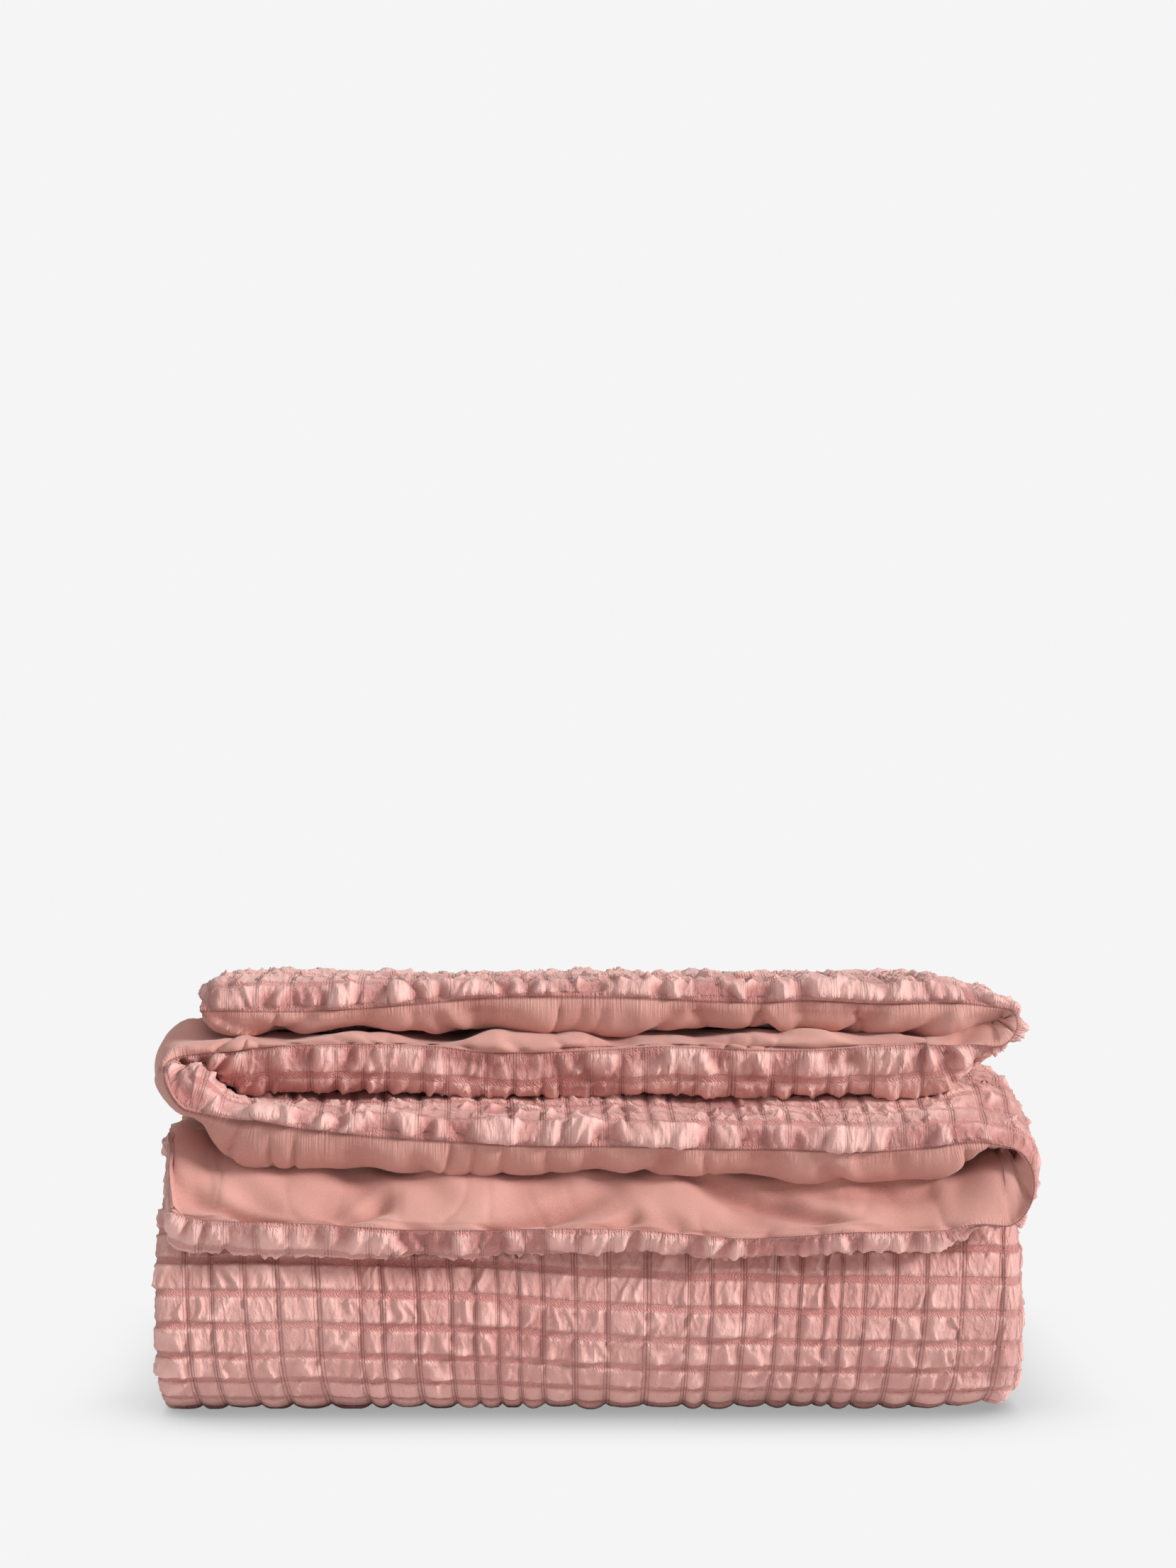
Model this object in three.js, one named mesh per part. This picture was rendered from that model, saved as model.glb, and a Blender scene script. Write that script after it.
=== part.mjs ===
// A padded crinkle bedspread, 2.2 m by 1.5 m, folded into four layers across and three passes deep.
//
// The quilt is two panels sewn together round the edge: a crinkle face and a plain back, with
// wadding between them that never shows. It is first folded back and forth across its width into a
// strip of four layers, and the strip is then folded back and forth along its length: the top pass
// ends in the hem that faces the front, the lower two passes make the round fold below it.
//
// Millimetres. +X to the right, +Y away from the front, +Z up.
import * as THREE from "three";

// The cloth
const QUILT_LENGTH = 1500; // from the front hem, along the strip, to the hem at the back
const PANEL_GAP = 0.3; // between the two panels, where they meet in the middle of the quilt
const EDGE_THICKNESS = 1.0; // of each panel at the sewn edge
const HEM_ROUNDING = 15; // how far the sewn edges take to swell to full thickness
const SIDE_ROUNDING = 13; // and the free side edges
const SEAM_REACH = 30; // how far behind the front hem the seam's place is felt
const ROLL_REACH = 13.5; // how far behind the front hem its roll is felt

// The pile, seen from the side
const LOWER_HEIGHT = 146; // of the two lower passes
const LAYERS = 4;
const LOWER_PITCH = LOWER_HEIGHT / 2 / LAYERS;
const LOWER_HALF = 8.85; // half the thickness of a pressed layer
const FRONT_FOLD = { back: 87, height: LOWER_HEIGHT / 2 }; // the axis of the fold at the front
const BACK_FOLD = { back: 442, height: LOWER_HEIGHT + 0.6 }; // and at the back
const BACK_PRESS = 0.05; // the share of its thickness that a layer loses half way round that fold
const FOOT_PRESS = 0.045; // and in the middle of the lowest pass, so that the pile rests on its sides

// The top pass. A row for each distance behind the lowest hem, with the height of the middle of
// each layer, the top one first, and half of its thickness.
const TOP_PASS = [
  { back: 0, middle: [255.0, 216.2, 162.0, 111.6], half: [16.6, 20.2, 23.2, 12.4] },
  { back: 8, middle: [255.0, 216.2, 164.5, 114.8], half: [16.6, 20.2, 23.2, 12.2] },
  { back: 15, middle: [255.2, 216.4, 167.0, 120.4], half: [16.6, 20.2, 23.0, 11.6] },
  { back: 25, middle: [255.2, 216.6, 171.6, 131.7], half: [16.6, 20.2, 20.6, 11.2] },
  { back: 35, middle: [255.3, 216.8, 176.4, 141.1], half: [16.6, 20.2, 16.4, 11.0] },
  { back: 55, middle: [255.5, 217.6, 181.6, 153.0], half: [16.6, 19.2, 13.0, 11.5] },
  { back: 85, middle: [257.1, 221.4, 188.8, 160.8], half: [16.2, 17.4, 13.8, 12.8] },
  { back: 120, middle: [257.0, 222.6, 191.0, 161.7], half: [16.2, 16.5, 14.3, 13.5] },
  { back: 200, middle: [254.2, 221.4, 190.3, 161.3], half: [15.8, 15.4, 14.3, 13.5] },
  { back: 300, middle: [249.6, 218.5, 188.9, 160.9], half: [15.1, 14.6, 13.7, 13.0] },
  { back: 380, middle: [245.0, 215.2, 187.0, 160.4], half: [14.4, 13.8, 13.1, 12.1] },
  { back: 442, middle: [242.0, 213.0, 185.6, 160.0], half: [14.0, 13.5, 12.8, 11.6] },
];

// The front hem. A row for each layer, the top one first: how far its hem lies behind the lowest
// hem, how far the seam lies from the middle of the quilt (towards the crinkle face), what share of
// its thickness the crinkle face keeps at the left and right ends of the hem, how much the seam
// rises or dips along its way across, and what share of that the whole layer takes part in.
const HEMS = [
  { back: 60, seam: 3.3, roll: [1, 1], share: 0.15, rise: [[-250, -4.8], [-190, -5.5], [-155, -4.2],
    [-110, -0.6], [-60, 3.6], [15, 3.9], [60, 2.0], [110, 0.2], [140, 1.8], [185, -0.4],
    [235, 0.0], [262, -3.0]] },
  { back: 52, seam: -12.8, roll: [1, 1], share: 0.1, rise: [[-262, -5.0], [-230, -1.0],
    [-190, 2.4], [-150, 3.6], [-100, 2.4], [-60, -2.0], [0, -0.8], [50, 2.0], [95, 0.0],
    [145, -0.5], [185, 2.2], [235, 4.0], [262, 1.0]] },
  { back: 12, seam: 6.8, roll: [1, 1], share: 0.4, rise: [[-262, 25.0], [-240, 20.0], [-210, 17.5],
    [-180, 12], [-130, 6.4], [-80, 2.8], [-30, 0.2], [20, 0.2], [80, -1.8], [120, -2.2],
    [170, -3.6], [210, -1.0], [240, 2.6], [262, -1.0]] },
  { back: 0, seam: -10.6, roll: [1.6, 0.5], share: 0.7, rise: [[-266, 15.0], [-246, 8.0],
    [-215, 5.8], [-170, 4.6], [-130, 1.4], [-80, 0.2], [-30, 1.2], [20, 1.0], [60, -2.0],
    [95, -5.0], [125, -3.6], [170, -1.0], [220, 0.4], [240, 3.2], [262, 0.4]] },
];
const HEM_REACH = 55; // how far behind the hem its rise and dip die away
const HEM_WIDTH = 520;

// The sides of the pile, at the front hem, in the rest of the top pass and in the lower passes.
// start and end are the free side edges of the top and bottom layers. folds has a row for each fold
// between layers: where the layer above it ends, where the one below it starts, and how far the
// fold bulges past them. thin is half the thickness that the quilt keeps in the folds.
const SIDES = {
  hem: { start: -249, folds: [[262, 256, 13], [-256, -249, 13.5], [259, 255, 20]], end: -263,
    thin: 4.2 },
  top: { start: -248, folds: [[250, 248, 15], [-256, -253, 16], [256, 254, 15]], end: -276,
    thin: 9.5 },
  lower: { start: -262, folds: [[257, 257, 9], [-258, -258, 9], [258, 258, 9]], end: -271,
    thin: 5.5 },
};
const SIDE_REACH = 80; // how far behind the hem the sides take their plain form
const FOLD_TAPER = 42; // how far from a side fold a layer takes to swell to full thickness

// Behind the hem three layers swell up beside a side fold or a free edge. The swelling grows from
// the inner to the outer place across, and from one distance behind the hem to the next, and later
// fades and is gone.
const SHOULDERS = [
  { level: 2, lift: 14, inner: -234, outer: -258, starts: 10, full: 60, fades: 90, gone: 330 },
  { level: 3, lift: 9, inner: 216, outer: 252, starts: 10, full: 70, fades: 290, gone: 425 },
  { level: 4, lift: 14, inner: -228, outer: -262, starts: 5, full: 42, fades: 42, gone: 112 },
];

// In the top pass the side seam of the bottom layer lies above its middle, so that the crinkle face
// shows at the left. At the front the plain back is thicker at the foot of the left fold, between
// these places across.
const SIDE_SEAM = [0, 0, 0, -7];
const SIDE_SEAM_END = 0.3; // the share of the top pass in which it returns to the middle
const FOOT = { swell: 0.8, starts: 3.25, full: 3.75, fades: 4, gone: 4.06, reach: 50 };

const lerp = THREE.MathUtils.lerp;
const clamp = THREE.MathUtils.clamp;
const smooth = (t) => clamp(t, 0, 1) ** 2 * (3 - 2 * clamp(t, 0, 1));

// A smooth curve through the points of a table: places[i] has the value values[i].
function through(places, values, at) {
  const last = places.length - 1;
  const x = clamp(at, places[0], places[last]);
  let i = 0;
  while (i < last - 1 && x > places[i + 1]) i += 1;
  const slope = (j) => {
    const a = Math.max(j - 1, 0);
    const b = Math.min(j + 1, last);
    return (values[b] - values[a]) / (places[b] - places[a]);
  };
  const span = places[i + 1] - places[i];
  const t = (x - places[i]) / span;
  const ease = t * t * (3 - 2 * t);
  return (
    values[i] * (1 - ease) +
    values[i + 1] * ease +
    slope(i) * span * t * (1 - t) ** 2 -
    slope(i + 1) * span * t * t * (1 - t)
  );
}

// A value that is given for each layer, at a level between 1, the top layer, and 4.
function atLevel(level, valueOf) {
  const upper = clamp(Math.floor(level), 1, LAYERS - 1);
  return lerp(valueOf(upper - 1), valueOf(upper), level - upper);
}

const hemBack = (level) => atLevel(level, (i) => HEMS[i].back);
const topBacks = TOP_PASS.map((row) => row.back);
const topMiddle = (level, back) =>
  atLevel(level, (i) => through(topBacks, TOP_PASS.map((row) => row.middle[i]), back));
const topHalf = (level, back) =>
  atLevel(level, (i) => through(topBacks, TOP_PASS.map((row) => row.half[i]), back));
const hemRise = (level, x) =>
  atLevel(level, (i) => {
    const rise = HEMS[i].rise;
    return through(rise.map((p) => p[0]), rise.map((p) => p[1]), x);
  });

function blendSides(a, b, share) {
  return {
    start: lerp(a.start, b.start, share),
    folds: a.folds.map((row, i) => row.map((value, k) => lerp(value, b.folds[i][k], share))),
    end: lerp(a.end, b.end, share),
    thin: lerp(a.thin, b.thin, share),
  };
}

function shoulder(level, x, behind) {
  let lift = 0;
  for (const each of SHOULDERS) {
    const share = Math.max(1 - Math.abs(level - each.level), 0);
    const side = smooth((x - each.inner) / (each.outer - each.inner));
    const start = smooth((behind - each.starts) / (each.full - each.starts));
    const left = smooth((each.gone - behind) / (each.gone - each.fades));
    lift += each.lift * share * side * start * left;
  }
  return lift;
}

// The level that a place across the quilt lies at. across runs from 0 at the free edge of the top
// layer to 7 at that of the bottom layer: even stretches are layers, odd ones the folds between.
function levelOf(across) {
  const stretch = Math.min(Math.floor(across), 6);
  const share = across - stretch;
  if (stretch % 2 === 0) return stretch / 2 + 1;
  return (stretch + 1) / 2 + (1 - Math.cos(Math.PI * share)) / 2;
}

// Where a place across the quilt lies from left to right, how far it is from the nearest side fold,
// and how far it is from a free side edge.
function placeAcross(across, sides) {
  const stretch = Math.min(Math.floor(across), 6);
  const share = across - stretch;
  if (stretch % 2 === 1) {
    const [above, below, round] = sides.folds[(stretch - 1) / 2];
    const angle = Math.PI * share;
    const bulge = Math.sign(above) * round * Math.sin(angle);
    const x = lerp(above, below, (1 - Math.cos(angle)) / 2) + bulge;
    return { x, fromFold: 0, fromEdge: Infinity };
  }
  const starts = [sides.start, ...sides.folds.map((row) => row[1])];
  const ends = [...sides.folds.map((row) => row[0]), sides.end];
  const i = stretch / 2;
  const x = lerp(starts[i], ends[i], share);
  const fromStart = Math.abs(x - starts[i]);
  const fromEnd = Math.abs(x - ends[i]);
  if (i === 0) return { x, fromFold: fromEnd, fromEdge: fromStart };
  if (i === 3) return { x, fromFold: fromStart, fromEdge: fromEnd };
  return { x, fromFold: Math.min(fromStart, fromEnd), fromEdge: Infinity };
}

// The middle of a layer in the second pass (order reversed) and in the third.
const secondMiddle = (level) => LOWER_HEIGHT - LOWER_PITCH * (LAYERS - level + 0.5);
const thirdMiddle = (level) => LOWER_PITCH * (LAYERS - level + 0.5);

// The middle of the quilt. along runs from 0 at the front hem to 5 at the back hem: the top pass,
// the back fold, the second pass, the front fold and the third pass.
function middle(across, along) {
  const level = levelOf(across);
  const hem = hemBack(level);
  const stretch = Math.min(Math.floor(along), 4);
  const share = along - stretch;
  if (stretch === 0) {
    const back = lerp(hem, BACK_FOLD.back, share);
    const behind = back - hem;
    const sides = blendSides(SIDES.top, SIDES.hem, Math.exp(-((behind / SIDE_REACH) ** 2)));
    const place = placeAcross(across, sides);
    const swell = smooth(place.fromFold / FOLD_TAPER);
    const seamLift = atLevel(level, (i) => Math.abs(HEMS[i].seam)) * (1 - swell);
    const joined = lerp(1, atLevel(level, (i) => HEMS[i].share), swell);
    const rise = hemRise(level, place.x) * joined + seamLift;
    const lift = rise * Math.exp(-((behind / HEM_REACH) ** 2)) + shoulder(level, place.x, behind);
    return {
      point: new THREE.Vector3(place.x, back, topMiddle(level, back) + lift),
      half: lerp(sides.thin, topHalf(level, back), swell),
      swell,
      fromHem: behind,
      fromEdge: place.fromEdge,
    };
  }
  const upper = topMiddle(level, BACK_FOLD.back) - BACK_FOLD.height;
  const lower = BACK_FOLD.height - secondMiddle(level);
  const turn = FRONT_FOLD.height - thirdMiddle(level);
  const eased = stretch === 1 ? smooth(share) : 1;
  const sides = blendSides(SIDES.top, SIDES.lower, eased);
  const place = placeAcross(across, sides);
  const swell = smooth(place.fromFold / FOLD_TAPER);
  const full = lerp(topHalf(level, BACK_FOLD.back), LOWER_HALF, eased);
  const angle = Math.PI * share;
  const made = { half: lerp(sides.thin, full, swell), swell, fromEdge: place.fromEdge };
  const inward = Math.max(1 - (place.x / SIDES.lower.start) ** 2, 0);
  made.half *= 1 - FOOT_PRESS * inward * smooth(along - 3);
  made.fromHem = Infinity;
  if (stretch === 1) {
    const radius = lerp(upper, lower, eased);
    const back = BACK_FOLD.back + radius * Math.sin(angle);
    made.point = new THREE.Vector3(place.x, back, BACK_FOLD.height + radius * Math.cos(angle));
    made.half *= 1 - BACK_PRESS * Math.sin(angle);
  } else if (stretch === 2) {
    const back = lerp(BACK_FOLD.back, FRONT_FOLD.back, share);
    made.point = new THREE.Vector3(place.x, back, secondMiddle(level));
  } else if (stretch === 3) {
    const radius = Math.abs(turn);
    const back = FRONT_FOLD.back - radius * Math.sin(angle);
    const height = FRONT_FOLD.height + radius * Math.cos(angle);
    made.point = new THREE.Vector3(place.x, back, height);
  } else {
    const end = backHem(level);
    const back = lerp(FRONT_FOLD.back, end, share);
    made.point = new THREE.Vector3(place.x, back, thirdMiddle(level));
    made.fromHem = end - back;
  }
  return made;
}

// Where the back hem of a layer ends, so that every layer of the strip is as long as the quilt.
const hemEnds = new Map();
function backHem(level) {
  if (!hemEnds.has(level)) {
    const across = level === Math.floor(level) ? 2 * level - 1.5 : acrossOf(level);
    const steps = 80;
    let length = 0;
    let before = middle(across, 0).point;
    for (let i = 1; i <= steps; i += 1) {
      const next = middle(across, (3.999 * i) / steps).point;
      length += before.distanceTo(next);
      before = next;
    }
    hemEnds.set(level, FRONT_FOLD.back + QUILT_LENGTH - length);
  }
  return hemEnds.get(level);
}

// The place in a fold that lies at a level between two layers.
function acrossOf(level) {
  const upper = Math.floor(level);
  return 2 * upper - 1 + Math.acos(1 - 2 * (level - upper)) / Math.PI;
}

// A point of one panel. side is 1 for the crinkle face and -1 for the plain back. depth is 1 on the
// panel's outer surface and 0 on its inner one.
const NUDGE = 1e-3;
function panelPoint(across, along, side, depth) {
  const here = middle(across, along);
  const slope = (da, db) => {
    const a = middle(clamp(across + da, 0, 7), clamp(along + db, 0, 5)).point;
    const b = middle(clamp(across - da, 0, 7), clamp(along - db, 0, 5)).point;
    return a.sub(b);
  };
  const normal = slope(NUDGE, 0).cross(slope(0, NUDGE)).normalize();
  const rounded = (from, reach) => {
    const t = clamp(from / reach, 0, 1);
    return Math.sqrt(1 - (1 - t) ** 2);
  };
  const full = rounded(here.fromHem, HEM_ROUNDING) * rounded(here.fromEdge, SIDE_ROUNDING);
  const layer = levelOf(across);
  const nearHem = (reach) => (along < 1 ? Math.exp(-((here.fromHem / reach) ** 2)) : 0);
  const apart = (i) => {
    const up = i % 2 === 0 ? 1 : -1;
    return HEMS[i].seam + up * (1 - HEMS[i].share) * hemRise(i + 1, here.point.x);
  };
  const aside = atLevel(layer, (i) => SIDE_SEAM[i]) * smooth((1 - along) / SIDE_SEAM_END);
  const seam = lerp(aside, atLevel(layer, apart) * here.swell, nearHem(SEAM_REACH));
  const fromLeft = clamp(here.point.x / HEM_WIDTH + 0.5, 0, 1);
  const roll = atLevel(layer, (i) => lerp(...HEMS[i].roll, fromLeft));
  const foot =
    smooth((across - FOOT.starts) / (FOOT.full - FOOT.starts)) *
    smooth((FOOT.gone - across) / (FOOT.gone - FOOT.fades));
  const rolled = lerp(1, roll, nearHem(ROLL_REACH));
  const kept = side > 0 ? rolled : 1 + FOOT.swell * foot * nearHem(FOOT.reach);
  const inner = seam * (1 - full) + (side * PANEL_GAP) / 2;
  const outer = seam * (1 - full) + side * here.half * full * kept;
  const reach = depth ? side * Math.max(side * (outer - inner), EDGE_THICKNESS) : 0;
  return here.point.clone().addScaledVector(normal, inner + reach);
}

// Stations across and along the quilt: close together at edges and folds, far apart on the flats.
function stationsAcross() {
  const flat = [0.045, 0.09, 0.25, 0.42, 0.58, 0.75, 0.91, 0.955];
  const edge = [0, 0.0025, 0.009, 0.018, 0.04];
  const fold = [0, 0.2, 0.4, 0.6, 0.8];
  const made = [...edge, ...flat.slice(2)];
  for (let stretch = 1; stretch < 7; stretch += 1) {
    const inner = stretch === 6 ? flat.slice(0, 6) : flat;
    const shares = stretch % 2 === 1 ? fold : [0, ...inner];
    made.push(...shares.map((s) => stretch + s));
  }
  return [...made, ...edge.map((s) => 7 - s).reverse()];
}

function stationsAlong() {
  const fromHem = [0, 1.6, 5.5, 11, 19, 29, 42, 60, 85, 120, 200, 310];
  const fold = [0, 0.13, 0.27, 0.42, 0.58, 0.73, 0.87];
  const backEdge = [0, 0.0035, 0.012, 0.025, 0.035];
  return [
    ...fromHem.map((back) => back / BACK_FOLD.back),
    ...fold.map((share) => 1 + share),
    2,
    ...fold.map((share) => 3 + share),
    4,
    ...backEdge.map((share) => 5 - share).reverse(),
  ];
}

// A panel as a closed solid: an outer grid, an inner grid, and a rim round the sewn edge.
function panelGeometry(side) {
  const across = stationsAcross();
  const along = stationsAlong();
  const columns = across.length;
  const rows = along.length;
  const positions = [];
  for (const depth of [1, 0]) {
    for (const b of along) {
      for (const a of across) positions.push(...panelPoint(a, b, side, depth).toArray());
    }
  }
  const at = (i, j, depth) => (depth ? 0 : rows * columns) + j * columns + i;
  const indices = [];
  const quad = (a, b, c, d) => {
    if (side > 0) indices.push(a, b, c, a, c, d);
    else indices.push(a, c, b, a, d, c);
  };
  for (let j = 0; j + 1 < rows; j += 1) {
    for (let i = 0; i + 1 < columns; i += 1) {
      quad(at(i, j, 1), at(i + 1, j, 1), at(i + 1, j + 1, 1), at(i, j + 1, 1));
      quad(at(i, j, 0), at(i, j + 1, 0), at(i + 1, j + 1, 0), at(i + 1, j, 0));
    }
  }
  for (let i = 0; i + 1 < columns; i += 1) {
    quad(at(i, 0, 0), at(i + 1, 0, 0), at(i + 1, 0, 1), at(i, 0, 1));
    quad(at(i + 1, rows - 1, 0), at(i, rows - 1, 0), at(i, rows - 1, 1), at(i + 1, rows - 1, 1));
  }
  for (let j = 0; j + 1 < rows; j += 1) {
    quad(at(0, j + 1, 0), at(0, j, 0), at(0, j, 1), at(0, j + 1, 1));
    const k = columns - 1;
    quad(at(k, j, 0), at(k, j + 1, 0), at(k, j + 1, 1), at(k, j, 1));
  }
  const geometry = new THREE.BufferGeometry();
  geometry.setAttribute("position", new THREE.Float32BufferAttribute(positions, 3));
  geometry.setIndex(indices);
  geometry.computeVertexNormals();
  return geometry;
}

const crinkle = new THREE.MeshStandardMaterial({ color: 0xdb9f98, roughness: 0.88, metalness: 0 });
const plain = new THREE.MeshStandardMaterial({ color: 0xd9a095, roughness: 0.8, metalness: 0 });

const bedspread = new THREE.Group();
for (const [name, side, material] of [
  ["crinkle_face", 1, crinkle],
  ["plain_back", -1, plain],
]) {
  const mesh = new THREE.Mesh(panelGeometry(side), material);
  mesh.name = name;
  bedspread.add(mesh);
}

// The pile stands on its underside, with the origin below its middle.
const box = new THREE.Box3().setFromObject(bedspread);
const centre = box.getCenter(new THREE.Vector3());
for (const mesh of bedspread.children) mesh.geometry.translate(-centre.x, -centre.y, -box.min.z);

export default bedspread;
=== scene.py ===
# %% [markdown]
# # A folded crinkle bedspread
# The bedspread is a padded quilt of two cloths. The face is a crinkle cloth, woven in puffed squares
# between tight threads, and the back is plain and brushed. They are sewn round the edge, and the
# quilt is folded into a pile. This lesson builds both cloths as surfaces, because every fold, puff
# and wrinkle can then be a formula of two numbers: how far across and how far along the cloth we are.

import math

import bpy
import numpy as np
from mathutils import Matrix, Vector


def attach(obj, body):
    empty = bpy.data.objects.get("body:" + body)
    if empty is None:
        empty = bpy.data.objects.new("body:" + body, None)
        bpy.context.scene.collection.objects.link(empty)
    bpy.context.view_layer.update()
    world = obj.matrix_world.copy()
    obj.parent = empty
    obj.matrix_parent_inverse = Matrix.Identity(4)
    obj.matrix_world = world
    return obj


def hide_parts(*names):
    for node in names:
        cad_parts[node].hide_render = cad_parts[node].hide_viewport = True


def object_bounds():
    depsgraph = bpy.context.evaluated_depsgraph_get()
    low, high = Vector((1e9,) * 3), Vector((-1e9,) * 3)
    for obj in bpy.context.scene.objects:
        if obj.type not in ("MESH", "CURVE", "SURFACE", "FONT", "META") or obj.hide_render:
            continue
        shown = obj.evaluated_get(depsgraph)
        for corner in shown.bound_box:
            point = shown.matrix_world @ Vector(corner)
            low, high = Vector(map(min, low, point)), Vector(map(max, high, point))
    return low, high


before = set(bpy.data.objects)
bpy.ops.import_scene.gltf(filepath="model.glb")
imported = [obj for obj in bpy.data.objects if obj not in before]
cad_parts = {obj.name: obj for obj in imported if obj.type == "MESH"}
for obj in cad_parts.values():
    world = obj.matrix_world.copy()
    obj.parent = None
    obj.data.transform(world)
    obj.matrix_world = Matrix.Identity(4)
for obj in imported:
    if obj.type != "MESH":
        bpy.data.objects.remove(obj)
cad_low, cad_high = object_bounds()


def box_size(lowest, highest):
    """The size of a box in millimetres: the differences of its corners, given in metres."""
    return [round(1000 * (far - near), 1) for near, far in zip(lowest, highest)]


print("CAD nodes:", len(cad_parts), "box, mm:", box_size(cad_low, cad_high))

# %% [markdown]
# ## The folded form
# The CAD solids already have the true fold. The cloths here follow the same form, but need far more
# points, so the form is worked out again as a function. The tables say where each layer lies, in
# millimetres. They could be read off the CAD mesh instead, but its few points are too far apart for
# a smooth cloth.

# %% The pile in numbers, millimetres
QUILT_LENGTH, LAYERS = 1500, 4
ACROSS, ALONG = 7, 5  # how many stretches, layers and folds, we count each way
HEM_ROUNDING, SIDE_ROUNDING = 15, 13  # how far the sewn edges take to swell to full thickness
SEAM_REACH, ROLL_REACH, HEM_REACH = 30, 13.5, 55  # how far behind the hem its own form fades
LOWER_HEIGHT, LOWER_HALF = 146, 8.85  # the second and third pass, and half of a layer in them
LOWER_PITCH = LOWER_HEIGHT / 2 / LAYERS
FRONT_BACK, FRONT_HEIGHT = 87, LOWER_HEIGHT / 2  # the axis of the fold at the front
FOLD_BACK, FOLD_HEIGHT = 442, LOWER_HEIGHT + 0.6  # and at the back
BACK_PRESS, FOOT_PRESS = 0.05, 0.045  # shares of its thickness that a layer loses there, and below
HEM_WIDTH, SIDE_REACH = 520, 80
FOLD_TAPER = 42  # a layer swells to full thickness that far from a fold
NO_EDGE = 1e6  # the distance of an edge or a hem that isn't near

# Distance behind the lowest hem, the height of the middle of each layer, half of its thickness
TOP_PASS = np.array([
    [0, 255.0, 216.2, 162.0, 111.6, 16.6, 20.2, 23.2, 12.4],
    [8, 255.0, 216.2, 164.5, 114.8, 16.6, 20.2, 23.2, 12.2],
    [15, 255.2, 216.4, 167.0, 120.4, 16.6, 20.2, 23.0, 11.6],
    [25, 255.2, 216.6, 171.6, 131.7, 16.6, 20.2, 20.6, 11.2],
    [35, 255.3, 216.8, 176.4, 141.1, 16.6, 20.2, 16.4, 11.0],
    [55, 255.5, 217.6, 181.6, 153.0, 16.6, 19.2, 13.0, 11.5],
    [85, 257.1, 221.4, 188.8, 160.8, 16.2, 17.4, 13.8, 12.8],
    [120, 257.0, 222.6, 191.0, 161.7, 16.2, 16.5, 14.3, 13.5],
    [200, 254.2, 221.4, 190.3, 161.3, 15.8, 15.4, 14.3, 13.5],
    [300, 249.6, 218.5, 188.9, 160.9, 15.1, 14.6, 13.7, 13.0],
    [380, 245.0, 215.2, 187.0, 160.4, 14.4, 13.8, 13.1, 12.1],
    [442, 242.0, 213.0, 185.6, 160.0, 14.0, 13.5, 12.8, 11.6],
])

# The front hem, the top layer first: its place, the seam's height over the layer's middle, how thick
# the face's roll is at the left and the right, how much of the waves the whole layer follows, and
# the waves themselves, as places from left to right and heights
HEM_BACK = [60, 52, 12, 0]
HEM_SEAM = [3.3, -12.8, 6.8, -10.6]
HEM_ROLL = [(1, 1), (1, 1), (1, 1), (1.6, 0.5)]
HEM_SHARE = [0.15, 0.1, 0.4, 0.7]
HEM_RISE = [
    [[-250, -4.8], [-190, -5.5], [-155, -4.2], [-110, -0.6], [-60, 3.6], [15, 3.9], [60, 2.0],
     [110, 0.2], [140, 1.8], [185, -0.4], [235, 0.0], [262, -3.0]],
    [[-262, -5.0], [-230, -1.0], [-190, 2.4], [-150, 3.6], [-100, 2.4], [-60, -2.0], [0, -0.8],
     [50, 2.0], [95, 0.0], [145, -0.5], [185, 2.2], [235, 4.0], [262, 1.0]],
    [[-262, 25.0], [-240, 20.0], [-210, 17.5], [-180, 12], [-130, 6.4], [-80, 2.8], [-30, 0.2],
     [20, 0.2], [80, -1.8], [120, -2.2], [170, -3.6], [210, -1.0], [240, 2.6], [262, -1.0]],
    [[-266, 15.0], [-246, 8.0], [-215, 5.8], [-170, 4.6], [-130, 1.4], [-80, 0.2], [-30, 1.2],
     [20, 1.0], [60, -2.0], [95, -5.0], [125, -3.6], [170, -1.0], [220, 0.4], [240, 3.2],
     [262, 0.4]],
]

# The sides: where the top layer starts, where the layer above each fold ends, where the one below
# starts, how far each fold bulges, where the bottom layer ends, and half the thickness in a fold
HEM_SIDES = [-249, 262, -256, 259, 256, -249, 255, 13, 13.5, 20, -263, 4.2]
TOP_SIDES = [-248, 250, -256, 256, 248, -253, 254, 15, 16, 15, -276, 9.5]
LOWER_SIDES = [-262, 257, -258, 258, 257, -258, 258, 9, 9, 9, -271, 5.5]

# Behind the hem three layers swell at a side: layer, lift, its inner and outer place, and how far
# behind the hem it starts, is full, fades and is gone
SHOULDERS = [
    (2, 14, -234, -258, 10, 60, 90, 330),
    (3, 9, 216, 252, 10, 70, 290, 425),
    (4, 14, -228, -262, 5, 42, 42, 112),
]
# In the top pass the side seam of the bottom layer lies above its middle, and at the front the back
# is thicker at the foot of the left fold: how much, four places across, and its reach
SIDE_SEAM, SIDE_SEAM_END = [0, 0, 0, -7], 0.3
FOOT_SWELL, FOOT, FOOT_REACH = 0.8, (3.25, 3.75, 4, 4.06), 50
print("layers:", LAYERS, "each in the lower passes, mm:", LOWER_PITCH)

# %% Curves and shares
def smooth(t):
    """Eases from 0 to 1: t squared times (3 - 2t), held outside that range."""
    t = np.clip(t, 0, 1)
    return t * t * (3 - 2 * t)


def lerp(a, b, share):
    """The point that lies that share of the way from a to b."""
    return a + (b - a) * share


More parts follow.
